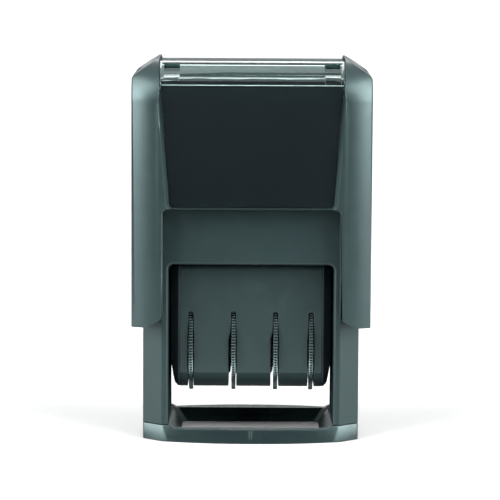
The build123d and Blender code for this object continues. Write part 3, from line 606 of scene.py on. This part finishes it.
def dull_faces(piece, material, chosen):
    """Second material for the faces that chosen picks from arrays of their middles and normals."""
    faces = piece.data.polygons
    middle = np.empty(3 * len(faces))
    normal = np.empty(3 * len(faces))
    faces.foreach_get("center", middle)
    faces.foreach_get("normal", normal)
    picked = chosen(middle.reshape(-1, 3), normal.reshape(-1, 3))
    piece.data.materials.append(material)
    faces.foreach_set("material_index", picked.astype(np.int32))
    print(piece.name, "dull faces:", int(picked.sum()))


def beside_window(middle, normal):
    """Edges of the housing's pocket that face the middle plane."""
    inward = normal[:, 0] * np.sign(middle[:, 0]) < -INWARD
    return inward & (np.abs(middle[:, 0]) < POCKET_X) & (middle[:, 2] > POCKET_Z)


def window_walls(middle, normal):
    """Side walls of the frame's opening."""
    return (np.abs(normal[:, 0]) > SIDEWAYS) & (np.abs(middle[:, 0]) < OPENING_X)


def lower_roll(middle, normal):
    """Lower edge of the carriage cover, from where it turns under."""
    return (normal[:, 2] < -UNDER) & (middle[:, 2] < carriage_foot + ROLL_H)


dull_faces(dressed["upper_housing"], edge_finish, beside_window)
dull_faces(dressed["lower_frame"], wall_finish, window_walls)
for node in ("carriage_front", "carriage_rear"):
    dull_faces(dressed[node], roll_finish, lower_roll)

# %% [markdown]
# ## Index cards
#
# A card printed black lies behind each clear plate and bends a little way over the bevel at the top.
# The print stops short of the card's end and waves, so bare paper shows there as a pale line. Below the
# second crease a thin pale line is painted on as a highlight, where the crease would catch the light. The
# card is pressed against the plastic, so no air is left between them to mirror the sky. A flat sheet with
# a Solidify modifier would do for a flat card. With its creases, the card is a cross-section carried from
# left to right.

# %% Cards
CARD_T = 0.25 * MM
CARD_TAPER = 2.0 * MM
CREASE_DROP = 0.65 * MM
CARD_LEAN = math.radians(22.25)
CARD_FOLD = math.radians(63.9)
CARD_STEP = 0.46 * MM
CARD_MORE = 1.5 * MM
CARD_BARE = 0.3 * MM
CARD_PRESS = 0.07 * MM
CARD_WAVE = 0.12 * MM
# Where along the stretch between the two creases the pale line of painted highlight starts and ends.
HIGHLIGHT_SHARES = (0.5, 0.74)
CARD_ROWS = 160
CARD_COLUMNS = 14
# Columns in pale paper colour: the painted highlight below the second crease, the bare end beyond the
# print and the card's end.
PALE_PAPER_AND_HIGHLIGHT_COLUMNS = (2, 5, 6)


def bent_card(name, low, high, side):
    """Cross-section of a card: up the front, leaning at the first crease, over the short stretch that is
    painted pale as a highlight, folding at the second crease, the print's waving end, the card's own end
    and back down inside. Both creases are moved out by the press, along the middle of the two directions
    that meet there. The inside lies a card's thickness in along the same line. The wave adds two sines of
    different length, and the card narrows evenly towards its foot."""
    across = np.linspace(-1, 1, CARD_ROWS + 1)
    zero = np.zeros_like(across)
    front = max(abs(low[1]), abs(high[1]))
    crease = high[2] - CREASE_DROP
    first = np.array([front, crease])
    second = first + CARD_STEP * np.array([-math.sin(CARD_LEAN), math.cos(CARD_LEAN)])
    first_turn = CARD_LEAN / 2
    second_turn = (CARD_LEAN + CARD_FOLD) / 2
    first = first + CARD_PRESS * np.array([math.cos(first_turn), math.sin(first_turn)])
    second = second + CARD_PRESS * np.array([math.cos(second_turn), math.sin(second_turn)])
    fold = np.array([-math.sin(CARD_FOLD), math.cos(CARD_FOLD)])
    wave = CARD_WAVE * (np.sin(9 * across + 0.6) + 0.5 * np.sin(23 * across + 2.0) - 1.5)
    run = (high[2] - second[1]) / fold[1] + CARD_MORE + zero
    print_run = run - CARD_BARE + wave
    turn = np.array([0, first_turn, CARD_LEAN, CARD_LEAN, second_turn, CARD_FOLD, CARD_FOLD])
    mitre = CARD_T / np.cos([0, first_turn, 0, 0, (CARD_FOLD - CARD_LEAN) / 2, 0, 0])
    highlight_ends = [first + share * (second - first) for share in HIGHLIGHT_SHARES]
    start = np.array([[first[0], low[2]], first, *highlight_ends, second])
    y = np.stack([*(start[:, :1] + zero), second[0] + print_run * fold[0], second[0] + run * fold[0]], 1)
    z = np.stack([*(start[:, 1:] + zero), second[1] + print_run * fold[1], second[1] + run * fold[1]], 1)
    inner_y = y - mitre * np.cos(turn)
    inner_z = z - mitre * np.sin(turn)
    y = np.concatenate([y, inner_y[:, ::-1]], 1)
    z = np.concatenate([z, inner_z[:, ::-1]], 1)
    height = (z - low[2]) / (high[2] - low[2])
    x = across[:, None] * (high[0] - CARD_TAPER * (1 - height))
    return grid_mesh(name, np.stack([x, side * y, z], -1), lids=True)


def show_pale_paper_and_highlight(piece):
    """Gives three of the grid's columns the second, pale material: the painted highlight line below the
    second crease, and the faces beyond the print."""
    piece.data.materials.append(pale_paper_and_highlight_finish)
    column = np.arange(CARD_ROWS * CARD_COLUMNS) % CARD_COLUMNS
    numbers = np.zeros(len(piece.data.polygons), dtype=np.int32)
    numbers[: len(column)] = np.isin(column, PALE_PAPER_AND_HIGHLIGHT_COLUMNS)
    piece.data.polygons.foreach_set("material_index", numbers)


for node, side in (("index_card_front", -1), ("index_card_rear", 1)):
    low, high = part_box(node)
    card = bent_card(node + "_bent", low, high, side)
    show_pale_paper_and_highlight(place_piece(card, "housing", card_finish, node))
    print(node, "from", [round(n / MM, 2) for n in low], "to", [round(n / MM, 2) for n in high])

# %% [markdown]
# ## Setting wheels
#
# Each thin wheel has a rim with very fine straight teeth that the thumb grips, more than a hundred of
# them, and a twelve-sided hub that drives its band. A bump could fake the teeth, but then the wheel's
# outline would be smooth. So it is a profile turned about the shaft: the rim's points move in and out
# with the angle, the hub's points follow its flats. The grid's own UV map tells the finish where a tooth
# is, so that its crests can be painted pale as a highlight and its valleys dark as painted shade.

# %% Wheel finish
WHEEL_R = 11.0 * MM
WHEEL_Z = sum(corner[2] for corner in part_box("wheel_month")) / 2
BORE_R = 1.33 * MM
HUB_R = 6.0 * MM
HUB_FLATS = 12
COLLAR_R = 7.4 * MM
TEETH = 106
TOOTH_H = 0.4 * MM
RIM_ROUND = 0.12 * MM
RIM_T = 0.9 * MM
RIM_GAP = 0.15 * MM
WHEEL_COLUMNS = 12
RIM_SHARE = 5.5 / WHEEL_COLUMNS
RIM_SPAN = 2.4 / WHEEL_COLUMNS
RIM_FADE = 0.01
# Painted shade for the valleys of the teeth and painted highlight for their crests.
VALLEY_SHADE_TONE = (0.001, 0.0016, 0.0018)
CREST_HIGHLIGHT_TONE = (0.036, 0.052, 0.054)


def knurled_plastic():
    """Plastic of the wheels: the first share of the UV map, times the number of teeth, tells crest from
    valley, and the second share tells the rim. On the rim the crests are painted pale as a highlight and
    the valleys dark as painted shade."""
    material, tree, shader, place = start_finish("wheel_plastic")
    satin(tree, shader, place, (0.24, 0.30))
    grid = tree.nodes.new("ShaderNodeUVMap")
    grid.uv_map = "grid"
    axes = split_axes(tree, grid.outputs["UV"])
    phase = calc(tree, "FRACT", calc(tree, "MULTIPLY", axes["X"], float(TEETH)))
    crest = calc(tree, "ABSOLUTE", calc(tree, "MULTIPLY_ADD", phase, 2.0, -1.0))
    off_rim = calc(tree, "ABSOLUTE", calc(tree, "SUBTRACT", axes["Y"], RIM_SHARE))
    on_rim = spread(tree, off_rim, 1, 0, RIM_SPAN, RIM_SPAN + RIM_FADE)
    # Crests get the painted highlight tone and valleys the painted shade tone, on the rim only.
    tone = spread(tree, crest, -1, 1, 0.25, 0.75)
    tone = calc(tree, "MULTIPLY_ADD", calc(tree, "MULTIPLY", tone, on_rim), 0.5, 0.5)
    tree.links.new(mix(tree, tone, VALLEY_SHADE_TONE, CREST_HIGHLIGHT_TONE), shader.inputs["Base Color"])
    return material


wheel_finish = knurled_plastic()
print("wheel finish:", wheel_finish.name)


# %% Wheels
def knurled_wheel(name, rim_x, hub_x, collar_x):
    """Turned profile: x runs out along one side, over the rim and back. The rim's radius falls by a
    tooth's height to the middle of each tooth and rises again, in straight flanks. The hub's radius is
    the distance to its flats: the flat's own, divided by the cosine of the angle from its middle."""
    turn = np.linspace(0, 2 * np.pi, 4 * TEETH, endpoint=False)
    valley = np.tile([0.0, 0.5, 1.0, 0.5], TEETH)
    sector = 2 * np.pi / HUB_FLATS
    flats = HUB_R * np.cos(sector / 2) / np.cos(turn % sector - sector / 2)
    side = np.sign(rim_x - hub_x)
    near = rim_x - side * RIM_T / 2
    far = rim_x + side * RIM_T / 2
    soft = side * RIM_ROUND
    rim = WHEEL_R - TOOTH_H * valley
    low = np.full_like(turn, BORE_R)
    collar = np.full_like(turn, COLLAR_R)
    shoulder = np.full_like(turn, WHEEL_R - 2 * TOOTH_H)
    line = [(hub_x, low), (hub_x, flats), (near, flats), (near, shoulder), (near, rim - RIM_ROUND)]
    line += [(near + soft, rim), (far - soft, rim), (far, rim - RIM_ROUND), (far, shoulder)]
    line += [(far, collar), (collar_x, collar), (collar_x, low)]
    radius = np.stack([r for _, r in line], 1)
    along = np.broadcast_to([x for x, _ in line], radius.shape)
    table = np.stack(
        [along, radius * np.cos(turn)[:, None], WHEEL_Z + radius * np.sin(turn)[:, None]], -1
    )
    return grid_mesh(name, table, wrap_rows=True)


wheel_names = ("day_tens", "day_units", "month", "year")
beside_band = RIM_GAP + RIM_T / 2
for name in wheel_names:
    low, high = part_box("wheel_" + name)
    band_low, band_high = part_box("band_" + name)
    first = name == "day_tens"
    rim_x = band_low[0] - beside_band if first else band_high[0] + beside_band
    hub_x = high[0] if first else low[0]
    collar_x = low[0] if first else high[0]
    mesh = knurled_wheel("wheel_" + name + "_knurled", rim_x, hub_x, collar_x)
    place_piece(mesh, "wheel_" + name, wheel_finish, "wheel_" + name)
print("wheels:", len(wheel_names), "teeth each:", TEETH)

# %% [markdown]
# ## Return spring
#
# A compression spring of round wire with one closed turn at each end. A Screw modifier would give it one
# pitch all the way. Here a tube is carried along a helix whose pitch starts at the wire's thickness,
# opens up and closes again. It stands on the frame and is pressed together by the housing.

# %% Spring
WIRE_R = 0.45 * MM
COIL_R = 6.0 * MM
CLOSED_PITCH = 2.06 * WIRE_R
TURN_STEPS = 48
WIRE_STEPS = 14
spring_low, spring_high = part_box("return_spring")


def coil_spring(name, turns, closed):
    """Helix of the coil's radius; the height is the running sum of a pitch that is a wire's thickness
    in the closed turns and even between them; around it a circle across the wire's direction."""
    angle = np.linspace(0, 2 * np.pi * turns, TURN_STEPS * turns + 1)
    lap = angle / (2 * np.pi)
    opening = np.clip(np.minimum(lap, turns - lap) - closed + 0.5, 0, 1)
    opening = opening * opening * (3 - 2 * opening)
    room = spring_high[2] - spring_low[2] - 2 * WIRE_R
    dead = np.concatenate([[0], np.cumsum((1 - opening[1:]) * np.diff(lap))]) * CLOSED_PITCH
    live = np.concatenate([[0], np.cumsum(opening[1:] * np.diff(lap))])
    height = spring_low[2] + WIRE_R + dead + live / live[-1] * (room - dead[-1])
    climb = np.gradient(height, angle)
    out = np.stack([np.cos(angle), np.sin(angle), np.zeros_like(angle)], -1)
    ahead = np.stack([-COIL_R * np.sin(angle), COIL_R * np.cos(angle), climb], -1)
    ahead /= np.linalg.norm(ahead, axis=1)[:, None]
    up = np.cross(out, ahead)
    centre = COIL_R * out + np.stack([0 * angle, 0 * angle, height], -1)
    around = np.linspace(0, 2 * np.pi, WIRE_STEPS, endpoint=False)
    ring = np.cos(around)[None, :, None] * out[:, None] + np.sin(around)[None, :, None] * up[:, None]
    return grid_mesh(name, centre[:, None] + WIRE_R * ring, lids=True)


wire = coil_spring("return_spring_wire", turns=7, closed=1)
spring = place_piece(wire, "frame", spring_finish, "return_spring")
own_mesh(spring)

# %% [markdown]
# ## Felt pad
#
# The ink pad is a block of felt held by the tray's rim, with a softly crowned face. A scaled sphere
# would be too round for it. In plan it is a rectangle with rounded corners, a superellipse. A short
# profile from the middle of the lower face, over the rim and back to the middle of the upper one scales
# that outline ring by ring.

# %% Pad
PAD_POWER = 9
PAD_STEPS = 144
SAME_SPOT = 1e-7
pad_low, pad_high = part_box("ink_pad")


def crowned_pad(name):
    """Rings of a superellipse, whose two coordinates are the cosine and the sine, both raised to two
    over the power: each ring has a share of the plan and a share of the height."""
    angle = np.linspace(0, 2 * np.pi, PAD_STEPS, endpoint=False)
    power = 2 / PAD_POWER
    outline = np.stack([np.sign(f) * np.abs(f) ** power for f in (np.cos(angle), np.sin(angle))], -1)
    share = np.array([0, 0.25, 0.5, 0.7, 0.85, 0.94, 0.985, 1, 1, 0.98, 0.9, 0.5, 0])
    level = np.array([0, 0.002, 0.008, 0.02, 0.04, 0.07, 0.13, 0.24, 0.85, 0.97, 1, 1, 1])
    centre = (np.array(pad_low) + np.array(pad_high)) / 2
    half = (np.array(pad_high) - np.array(pad_low)) / 2
    plan = share[:, None, None] * outline[None] * half[:2] + centre[:2]
    tall = np.broadcast_to((pad_low[2] + level * 2 * half[2])[:, None, None], plan.shape[:2] + (1,))
    return grid_mesh(name, np.concatenate([plan, tall], -1))


felt = merge_points(crowned_pad("ink_pad_felt"), SAME_SPOT)
pad = place_piece(felt, "frame", felt_finish, "ink_pad", crease=60)
print("pad points:", len(pad.data.vertices))

# %% [markdown]
# ## Date bands
#
# Each band is an endless strip of rubber over a wheel's hub and the bridge at the printing face,
# with twelve type blocks that carry raised figures in mirror writing. A Curve modifier could bend a
# straight band round, but it would stretch the blocks at the bends. So the loop is a formula: a flat, a
# corner, a straight run and the hub's arc. The strip is a small chamfered rectangle carried round it.

# %% Band loop
BAND_T = 0.7 * MM
BAND_CHIP = 0.1 * MM
BAND_STEPS = 192
BRIDGE_Y = 1.4 * MM
BRIDGE_Z = 40.05 * MM
BRIDGE_R = 1.05 * MM
HUB_TOUCH = 6.08 * MM
rise = BRIDGE_Z - WHEEL_Z
run_angle = math.atan2(rise, BRIDGE_Y) - math.acos((HUB_TOUCH - BRIDGE_R) / math.hypot(BRIDGE_Y, rise))


def loop_at(share, lift):
    """Point and outward angle at a share of the loop: along the bridge's flat, round its corner, down
    the straight run and round the hub, then the mirror image back up. lift is the height above the
    band's inside, added to both radii."""
    corner = BRIDGE_R + lift
    hub = HUB_TOUCH + lift
    bend = corner * (np.pi / 2 - run_angle)
    outward = np.array([np.cos(run_angle), np.sin(run_angle)])
    high = np.array([BRIDGE_Y, BRIDGE_Z]) + corner * outward
    low = np.array([0, WHEEL_Z]) + hub * outward
    straight = np.linalg.norm(low - high)
    half = BRIDGE_Y + bend + straight + hub * (run_angle + np.pi / 2)
    share = np.asarray(share) % 1
    left = share > 0.5
    run = np.where(left, 1 - share, share) * 2 * half
    ends = np.cumsum([BRIDGE_Y, bend, straight])
    stretches = [run < end for end in ends]
    down = (run - ends[1]) / straight
    bend_angle = np.pi / 2 - (run - ends[0]) / corner
    hub_angle = run_angle - (run - ends[2]) / hub
    angle = np.select(stretches, [np.pi / 2 + 0 * run, bend_angle, run_angle + 0 * run], hub_angle)
    bend_y = BRIDGE_Y + corner * np.cos(angle)
    bend_z = BRIDGE_Z + corner * np.sin(angle)
    run_y = high[0] + (low - high)[0] * down
    run_z = high[1] + (low - high)[1] * down
    y = np.select(stretches, [run, bend_y, run_y], hub * np.cos(angle))
    z = np.select(stretches, [BRIDGE_Z + corner + 0 * run, bend_z, run_z], WHEEL_Z + hub * np.sin(angle))
    return np.where(left, -y, y), z, np.where(left, np.pi - angle, angle)


def band_strip(name, x0, x1):
    """A chamfered rectangle, band's width by its thickness, carried round the loop."""
    y, z, angle = loop_at(np.linspace(0, 1, BAND_STEPS, endpoint=False), 0)
    across = np.array([x0, x1, x1, x1 - BAND_CHIP, x0 + BAND_CHIP, x0])
    lift = np.array([0, 0, BAND_T - BAND_CHIP, BAND_T, BAND_T, BAND_T - BAND_CHIP])
    table_y = y[:, None] + lift * np.cos(angle)[:, None]
    table_z = z[:, None] + lift * np.sin(angle)[:, None]
    table_x = np.broadcast_to(across, table_y.shape)
    return grid_mesh(name, np.stack([table_x, table_y, table_z], -1), wrap_rows=True)


print("straight run faces up by", round(math.degrees(run_angle), 2), "degrees")

# %% [markdown]
# The type is moulded on to the band. Each block is low and tapered, with its foot sunk into the rubber
# so that no gap shows, and all twelve are placed at once by the loop's formula. The figures could be
# drawn as outlines, but Blender's own text is quicker and becomes a mesh like any other.

# %% Type blocks and figures
BLOCKS = 12
TYPE_H = 0.8 * MM
BASE_H = 0.35 * MM
BASE_SINK = 0.15 * MM
FOOT_ROOM = 0.05 * MM
TOP_ROOM = 0.25 * MM
FOOT_LONG = 1.8 * MM
TOP_LONG = 1.6 * MM


def block_frames(lift):
    """Origin, along-band and outward directions of every type block, as three tables."""
    y, z, angle = loop_at(np.arange(BLOCKS) / BLOCKS, lift)
    zero = np.zeros(BLOCKS)
    outward = np.stack([zero, np.cos(angle), np.sin(angle)], -1)
    onward = np.stack([zero, np.sin(angle), -np.cos(angle)], -1)
    return np.stack([zero, y, z], -1), onward, outward


def type_bases(name, x0, x1):
    """Low tapered blocks: a foot rectangle sunk in the band and a smaller top rectangle above it."""
    origin, onward, outward = block_frames(BAND_T)
    half = (x1 - x0) / 2
    corner_x = np.array([-1, 1, 1, -1])
    corner_t = np.array([-1, -1, 1, 1])
    parts = []
    for room, long, level in ((FOOT_ROOM, FOOT_LONG, -BASE_SINK), (TOP_ROOM, TOP_LONG, BASE_H)):
        spot = origin[:, None] + (long * corner_t)[None, :, None] * onward[:, None]
        spot = spot + level * outward[:, None]
        spot[:, :, 0] = (x0 + x1) / 2 + (half - room) * corner_x
        parts.append(spot)
    points = np.concatenate(parts, 1)
    faces = np.array([[3, 2, 1, 0], [4, 5, 6, 7], [0, 1, 5, 4], [1, 2, 6, 5], [2, 3, 7, 6], [3, 0, 4, 7]])
    numbers = (np.arange(BLOCKS) * 8)[:, None, None] + faces
    mesh = bpy.data.meshes.new(name)
    mesh.from_pydata(points.reshape(-1, 3).tolist(), [], numbers.reshape(-1, 4).tolist())
    return mesh


def figure_mesh(text, size, height):
    """Flat text with a thickness, as a mesh round the origin."""
    letters = bpy.data.curves.new("figure", "FONT")
    letters.body = text
    letters.size = size
    letters.extrude = height / 2
    letters.resolution_u = 3
    letters.align_x = "CENTER"
    letters.align_y = "CENTER"
    holder = bpy.data.objects.new("figure", letters)
    mesh = bpy.data.meshes.new_from_object(holder)
    bpy.data.objects.remove(holder)
    bpy.data.curves.remove(letters)
    return mesh


print("blocks on each band:", BLOCKS)

# %% [markdown]
# A stamp's figures are seen in mirror writing. The text runs along X, its feet point onwards along
# the band and its height outwards. That turns the mesh inside out, so its faces are flipped.

# %% Bands with their figures
FIGURE_SIZE = 3.6 * MM
FIGURE_LONG = 2.7 * MM
FIGURE_ROOM = 0.7 * MM
FIGURE_SINK = 0.1 * MM
FIRST_YEAR = 26
figures = {
    "day_tens": [str(n % 4) for n in range(BLOCKS)],
    "day_units": [str(n % 10) for n in range(BLOCKS)],
    "month": [f"{n + 1:02d}" for n in range(BLOCKS)],
    "year": [f"{n + FIRST_YEAR:02d}" for n in range(BLOCKS)],
}


def figures_on_band(work, texts, x0, x1):
    """Adds each block's figures to the band: mesh x to X, mesh y against the onward direction, mesh z
    outwards, from inside the block to the printing height."""
    height = TYPE_H - BASE_H + FIGURE_SINK
    origin, onward, outward = block_frames(BAND_T + TYPE_H - height / 2)
    for number, text in enumerate(texts):
        mesh = figure_mesh(text, FIGURE_SIZE, height)
        flat = np.empty(len(mesh.vertices) * 3)
        mesh.vertices.foreach_get("co", flat)
        u, v, w = flat.reshape(-1, 3).T
        u = u * min(1, (x1 - x0 - FIGURE_ROOM) / np.ptp(u))
        v = v * (FIGURE_LONG / np.ptp(v))
        spot = origin[number] - v[:, None] * onward[number] + w[:, None] * outward[number]
        spot[:, 0] = (x0 + x1) / 2 + u
        mesh.vertices.foreach_set("co", spot.ravel())
        mesh.flip_normals()
        work.from_mesh(mesh)
        bpy.data.meshes.remove(mesh)


for name in wheel_names:
    low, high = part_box("band_" + name)
    strip = band_strip("band_" + name + "_figures", low[0], high[0])
    bases = type_bases("bases", low[0], high[0])
    work = bmesh.new()
    work.from_mesh(strip)
    work.from_mesh(bases)
    figures_on_band(work, figures[name], low[0], high[0])
    bmesh.ops.remove_doubles(work, verts=work.verts, dist=SAME_SPOT)
    work.to_mesh(strip)
    work.free()
    bpy.data.meshes.remove(bases)
    place_piece(strip, "carriage", rubber_finish, "band_" + name)
    print("band", name, "faces:", len(strip.polygons))

# %% [markdown]
# ## Floor
#
# The photograph is a catalogue picture on a white floor that runs off to white. A curved backdrop would
# do that too, but a flat sheet of paper that grows paler with the distance is enough. It ends a little
# way in front of the stamp, out of the picture, so that it lights the front faces less.

# %% Floor
FLOOR_REACH = 9.0
FLOOR_FRONT = -0.19
FLOOR_DROP = 0.05 * MM
NEAR_TONE = 0.36
FAR_TONE = 0.83
PALE_FROM = 0.1
PALE_TO = 1.2


def white_floor():
    """A plane on a coarse grid, a hair below the stamp. Its tone rises evenly from near to far, and paper
    grain is added to it."""
    wide = np.linspace(-FLOOR_REACH, FLOOR_REACH, 3)
    deep = np.linspace(FLOOR_FRONT, FLOOR_REACH, 3)
    x, y = np.meshgrid(wide, deep, indexing="ij")
    mesh = grid_mesh("floor", np.stack([x, y, 0 * x - FLOOR_DROP], -1), wrap_cols=False)
    material, tree, shader, place = start_finish("white_paper")
    grain = noise(tree, place, 1.5 * MM, 3)
    tone = spread(tree, split_axes(tree, place)["Y"], NEAR_TONE, FAR_TONE, PALE_FROM, PALE_TO)
    tree.links.new(calc(tree, "MULTIPLY_ADD", grain, 0.02, tone), shader.inputs["Base Color"])
    shader.inputs["Roughness"].default_value = 0.8
    shader.inputs["Specular IOR Level"].default_value = 0.1
    mesh.materials.append(material)
    floor = bpy.data.objects.new("floor", mesh)
    bpy.context.scene.collection.objects.link(floor)
    print("floor faces:", len(mesh.polygons))


white_floor()

# %% [markdown]
# ## Light
#
# Satin plastic shows what it mirrors, so the lights are placed for their reflections. Big soft boxes on
# both sides, low and high, draw the bright facets of the corners. A weak one behind lights the upper
# edges, a strong one far back keeps the floor white there, and an even sky fills in. Nothing stands
# straight in front, and that darkness keeps the front faces and the window black. A picture of a studio
# wrapped round the scene could do all this, but a lamp is easier to move.


# %% Lights
def soft_light(name, place, target, size, power):
    """Rectangular light that looks at a target."""
    lamp = bpy.data.lights.new(name, "AREA")
    lamp.shape = "RECTANGLE"
    lamp.size, lamp.size_y = size
    lamp.energy = power
    holder = bpy.data.objects.new(name, lamp)
    away = np.array(place) - np.array(target)
    yaw = math.atan2(away[0], -away[1])
    tilt = math.atan2(math.hypot(away[0], away[1]), away[2])
    turned = Matrix.Rotation(yaw, 4, "Z") @ Matrix.Rotation(tilt, 4, "X")
    holder.matrix_world = Matrix.Translation(place) @ turned
    holder.visible_camera = False
    bpy.context.scene.collection.objects.link(holder)


stamp_middle = (0, 0, 0.045)
pairs = [("side", (0.76, -0.40, 0.33), (0.80, 0.50), 24), ("upper", (0.52, -0.42, 0.72), (0.7, 0.4), 12)]
for label, (x, y, z), size, power in pairs:
    soft_light("left " + label, (-x, y, z), stamp_middle, size, power)
    soft_light("right " + label, (x, y, z), stamp_middle, size, power)
soft_light("behind", (0, 1.3, 0.42), stamp_middle, (1.8, 0.8), 1.0)
soft_light("background", (0, 4.6, 2.2), (0, 4.6, 0), (5.0, 4.4), 200)
sky = bpy.data.lights.new("even sky", "SUN")
sky.energy = 1.5
sky.angle = math.radians(90)
sky_holder = bpy.data.objects.new("even sky", sky)
bpy.context.scene.collection.objects.link(sky_holder)
world = bpy.data.worlds.new("studio")
world.use_nodes = True
backdrop = world.node_tree.nodes["Background"]
backdrop.inputs["Color"].default_value = (0.55, 0.95, 1, 1)
backdrop.inputs["Strength"].default_value = 0.06
bpy.context.scene.world = world
bpy.context.scene.view_settings.view_transform = "Standard"
print("lights:", len(bpy.data.lights))

# %% [markdown]
# ## Camera
#
# The camera stands far away, a little above the stamp, and looks down by seven degrees. A long lens
# brings the stamp close again, so that its upright edges stay almost parallel. The picture is rolled by
# a third of a degree, as the photograph is.

# %% Camera
LENS = 198.4
SENSOR = 36
SIGHT = 30
CAMERA_PLACE = (-0.29 * MM, -610 * MM, 118 * MM)
LOOK_DOWN = math.radians(7.2)
ROLL = math.radians(0.31)
camera_data = bpy.data.cameras.new("camera")
camera_data.lens = LENS
camera_data.sensor_width = SENSOR
camera_data.clip_end = SIGHT
camera = bpy.data.objects.new("camera", camera_data)
turned = Matrix.Rotation(math.pi / 2 - LOOK_DOWN, 4, "X") @ Matrix.Rotation(ROLL, 4, "Z")
camera.matrix_world = Matrix.Translation(CAMERA_PLACE) @ turned
bpy.context.scene.collection.objects.link(camera)
bpy.context.scene.camera = camera
print("camera lens:", camera_data.lens)
